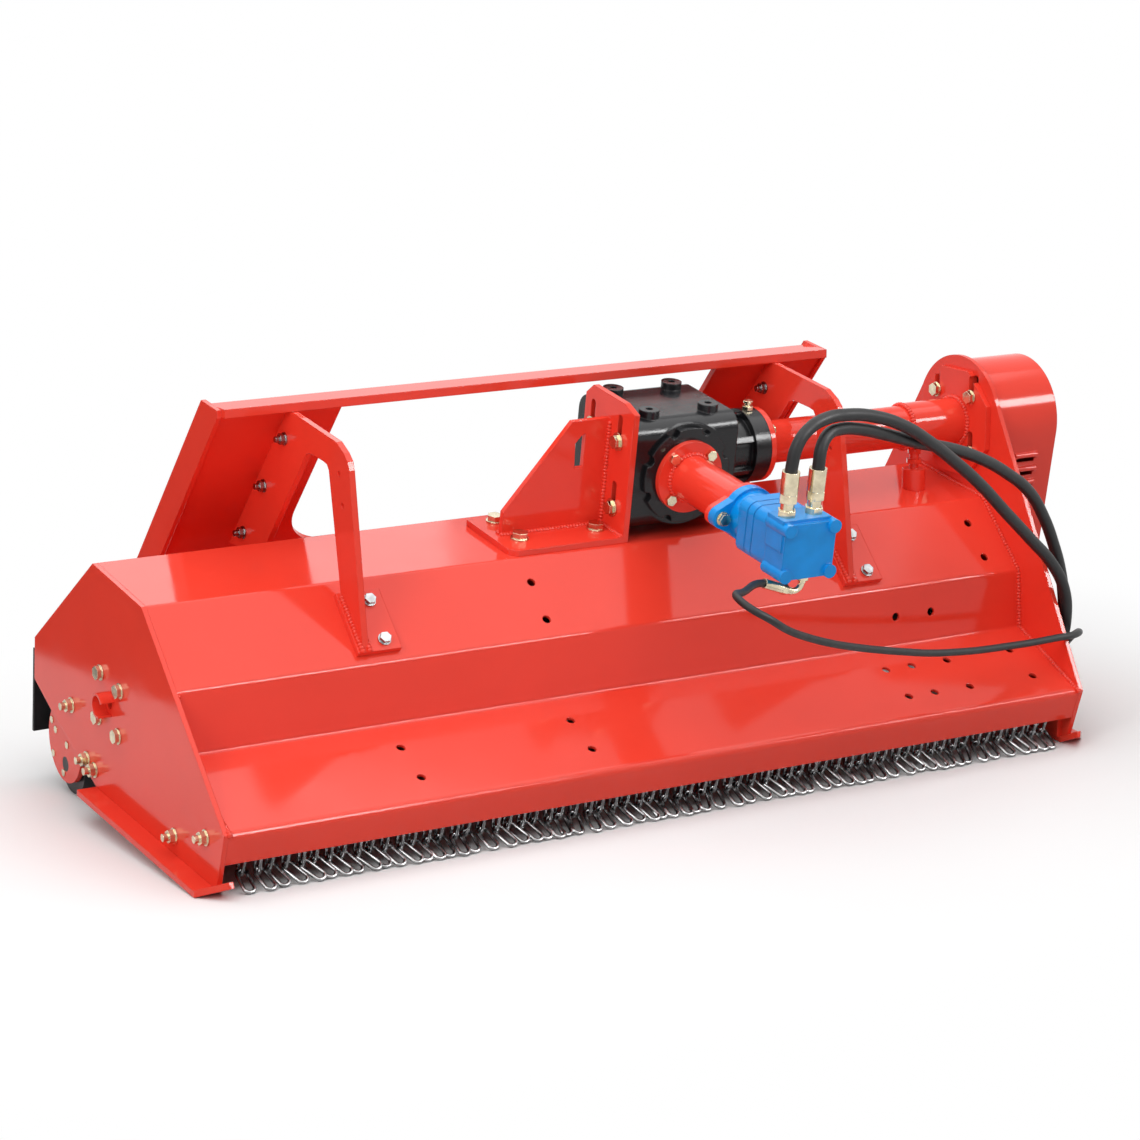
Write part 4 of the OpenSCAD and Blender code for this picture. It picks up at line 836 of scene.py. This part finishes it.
class MOWER_OT_chains(bpy.types.Operator):
    """Hangs the four chain curtain sections, each chain's lower link lying on the ground its own way"""

    bl_idname = "mower.chains"
    bl_label = "Chain curtain"

    def execute(self, context):
        sizes = context.scene.mower_chains
        upper = self.link("upper_link", sizes.upper, sizes.upper_inside, sizes.wire)
        lower = self.link("lower_link", sizes.lower, sizes.lower_inside, sizes.wire)
        chains = sum(len(turns) for turns in CHAIN_TURNS)
        number = 0
        for section, turns in enumerate(CHAIN_TURNS, start=1):
            links = []
            for turn in turns:
                x = (number - (chains - 1) / 2) * CHAIN_PITCH
                hung = self.upper_place(x, CHAIN_SWAYS[number % len(CHAIN_SWAYS)])
                links.append(self.copy(upper, hung))
                links.append(self.copy(lower, self.lower_place(sizes, hung, turn)))
                number += 1
            node = "chain_section_%d" % section
            piece = settle(join(links, "curtain_links_%d" % section))
            bpy.ops.object.shade_smooth()
            dress(piece, "plain_steel", node)
            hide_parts(node)
        deselect()
        upper.select_set(True)
        lower.select_set(True)
        bpy.ops.object.delete()
        return {"FINISHED"}

    def link(self, name, run, inside, wire):
        """A link in the XZ plane, bent from a ring, the middle of its top arc at the origin."""
        deselect()
        bpy.ops.mesh.primitive_torus_add(
            major_segments=LINK_SEGMENTS, minor_segments=WIRE_SEGMENTS, major_radius=(inside + wire) / 2,
            minor_radius=wire / 2, rotation=(math.pi / 2, 0, 0))
        ring = bpy.context.object
        ring.name = name
        bpy.ops.object.transform_apply(location=True, rotation=True, scale=True)
        bpy.ops.object.mode_set(mode="EDIT")
        bpy.ops.mesh.select_mode(type="VERT")
        bpy.ops.mesh.select_all(action="DESELECT")
        bpy.ops.object.mode_set(mode="OBJECT")
        # The lower half moves down, and the corners halfway, a rounding error from nought, stay
        below = -wire / 10
        for corner in ring.data.vertices:
            corner.select = corner.co.z < below
        bpy.ops.object.mode_set(mode="EDIT")
        bpy.ops.transform.translate(value=(0, 0, -run))
        bpy.ops.object.mode_set(mode="OBJECT")
        return ring

    def copy(self, link, place):
        """A copy of a link, with its own mesh, at its place."""
        deselect()
        link.select_set(True)
        bpy.context.view_layer.objects.active = link
        bpy.ops.object.duplicate()
        bpy.context.object.matrix_world = place
        return bpy.context.object

    def upper_place(self, x, sway):
        """The upper link edge on to the front, round the rod."""
        return (
            Matrix.Translation(row_point(x, *CURTAIN_ROD))
            @ Matrix.Rotation(math.radians(sway), 4, "Y")
            @ Matrix.Rotation(math.radians(LINK_LEAN + sway), 4, "X")
            @ Matrix.Rotation(math.pi / 2, 4, "Z"))

    def lower_place(self, sizes, hung, turn):
        """The lower link in the foot of the upper one, turned aside and rolled, its end on the ground."""
        drop = sizes.upper + (sizes.upper_inside - sizes.wire) / 2 - LINK_PLAY / METRE
        top = hung @ Vector((0, 0, -drop))
        arc = (sizes.lower_inside + sizes.wire) / 2
        roll = math.radians(ROLL_SHARE * turn)
        fall = top.z - sizes.wire / 2
        # How far the rolled end arc reaches down hangs on the slope, so the slope is found in rounds
        steep = FIRST_STEEP
        for _ in range(STEEP_ROUNDS):
            reach = arc * math.sqrt(steep ** 2 + (1 - steep ** 2) * math.sin(roll) ** 2)
            steep = (fall - reach) / (arc + sizes.lower)
        lean = math.asin(steep) - math.pi / 2
        return (
            Matrix.Translation(top)
            @ Matrix.Rotation(math.radians(turn), 4, "Z")
            @ Matrix.Rotation(lean, 4, "X")
            @ Matrix.Rotation(roll, 4, "Z")
            @ Matrix.Translation((0, 0, -arc)))


class MOWER_OT_flap(bpy.types.Operator):
    """Hangs the rubber flap at the rear, slightly wavy towards its free edge"""

    bl_idname = "mower.flap"
    bl_label = "Rear flap"

    def execute(self, context):
        sizes = context.scene.mower_flap
        width = 2 * PLATE_INSIDE / METRE + FLAP_EXTRA
        length = sizes.length
        deselect()
        bpy.ops.mesh.primitive_grid_add(x_subdivisions=FLAP_ACROSS, y_subdivisions=FLAP_DOWN, size=1)
        flap = context.object
        flap.name = flap.data.name = "flap_sheet"
        bpy.ops.object.mode_set(mode="EDIT")
        bpy.ops.mesh.select_all(action="SELECT")
        bpy.ops.transform.resize(value=(width, length, 1))
        bpy.ops.transform.translate(value=(0, length / 2 + FLAP_START, 0))
        bpy.ops.object.mode_set(mode="OBJECT")
        free = flap.vertex_groups.new(name="free")
        for corner in flap.data.vertices:
            weight = max(0.0, (corner.co.y - FLAP_START) / length - FLAP_FLAT)
            free.add([corner.index], weight, "REPLACE")
        waves = bpy.data.textures.new("flap_waves", "CLOUDS")
        waves.noise_scale = WAVE_SIZE
        sway = flap.modifiers.new("Sway", "DISPLACE")
        sway.texture = waves
        sway.direction = "Z"
        sway.mid_level = WAVE_MIDDLE
        sway.strength = sizes.sway
        sway.vertex_group = free.name
        bpy.ops.object.modifier_apply(modifier=sway.name)
        wall = flap.modifiers.new("Wall", "SOLIDIFY")
        wall.thickness = sizes.thick
        wall.offset = 1
        bpy.ops.object.modifier_apply(modifier=wall.name)
        fall = Vector(TAIL_FOOT) - Vector(TAIL_TOP)
        flap.rotation_euler = (math.atan2(fall.y, fall.x), 0, 0)
        flap.location = row_point(0, *TAIL_TOP)
        settle(flap)
        bpy.ops.object.shade_smooth_by_angle(angle=SHARP_EDGE)
        dress(flap, "rubber")
        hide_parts("rear_flap")
        return {"FINISHED"}


class MOWER_PT_panel(bpy.types.Panel):
    """Lists the mower's pieces and their settings"""

    bl_idname = "MOWER_PT_panel"
    bl_label = "Flail mower"
    bl_space_type = "VIEW_3D"
    bl_region_type = "UI"
    bl_category = "Mower"

    def draw(self, context):
        for operator in OPERATORS:
            self.layout.operator(operator.bl_idname)
        for name in GROUPS:
            settings = getattr(context.scene, name)
            box = self.layout.box()
            for value in settings.__annotations__:
                box.prop(settings, value)


GROUPS = {
    "mower_finish": MowerFinish, "mower_hoses": MowerHoses, "mower_welds": MowerWelds,
    "mower_chains": MowerChains, "mower_flap": MowerFlap, "mower_stage": MowerStage}
OPERATORS = (
    MOWER_OT_stage, MOWER_OT_hoses, MOWER_OT_finishes, MOWER_OT_welds, MOWER_OT_chains, MOWER_OT_flap)
CLASSES = (*GROUPS.values(), *OPERATORS, MOWER_PT_panel)


def register():
    for item in CLASSES:
        bpy.utils.register_class(item)
    for name, group in GROUPS.items():
        setattr(bpy.types.Scene, name, PointerProperty(type=group))


def unregister():
    for name in GROUPS:
        delattr(bpy.types.Scene, name)
    for item in reversed(CLASSES):
        bpy.utils.unregister_class(item)


def main():
    register()
    bpy.ops.mower.stage()
    bpy.ops.mower.hoses()
    bpy.ops.mower.finishes()
    bpy.ops.mower.welds()
    bpy.ops.mower.chains()
    bpy.ops.mower.flap()


if __name__ == "__main__":
    main()
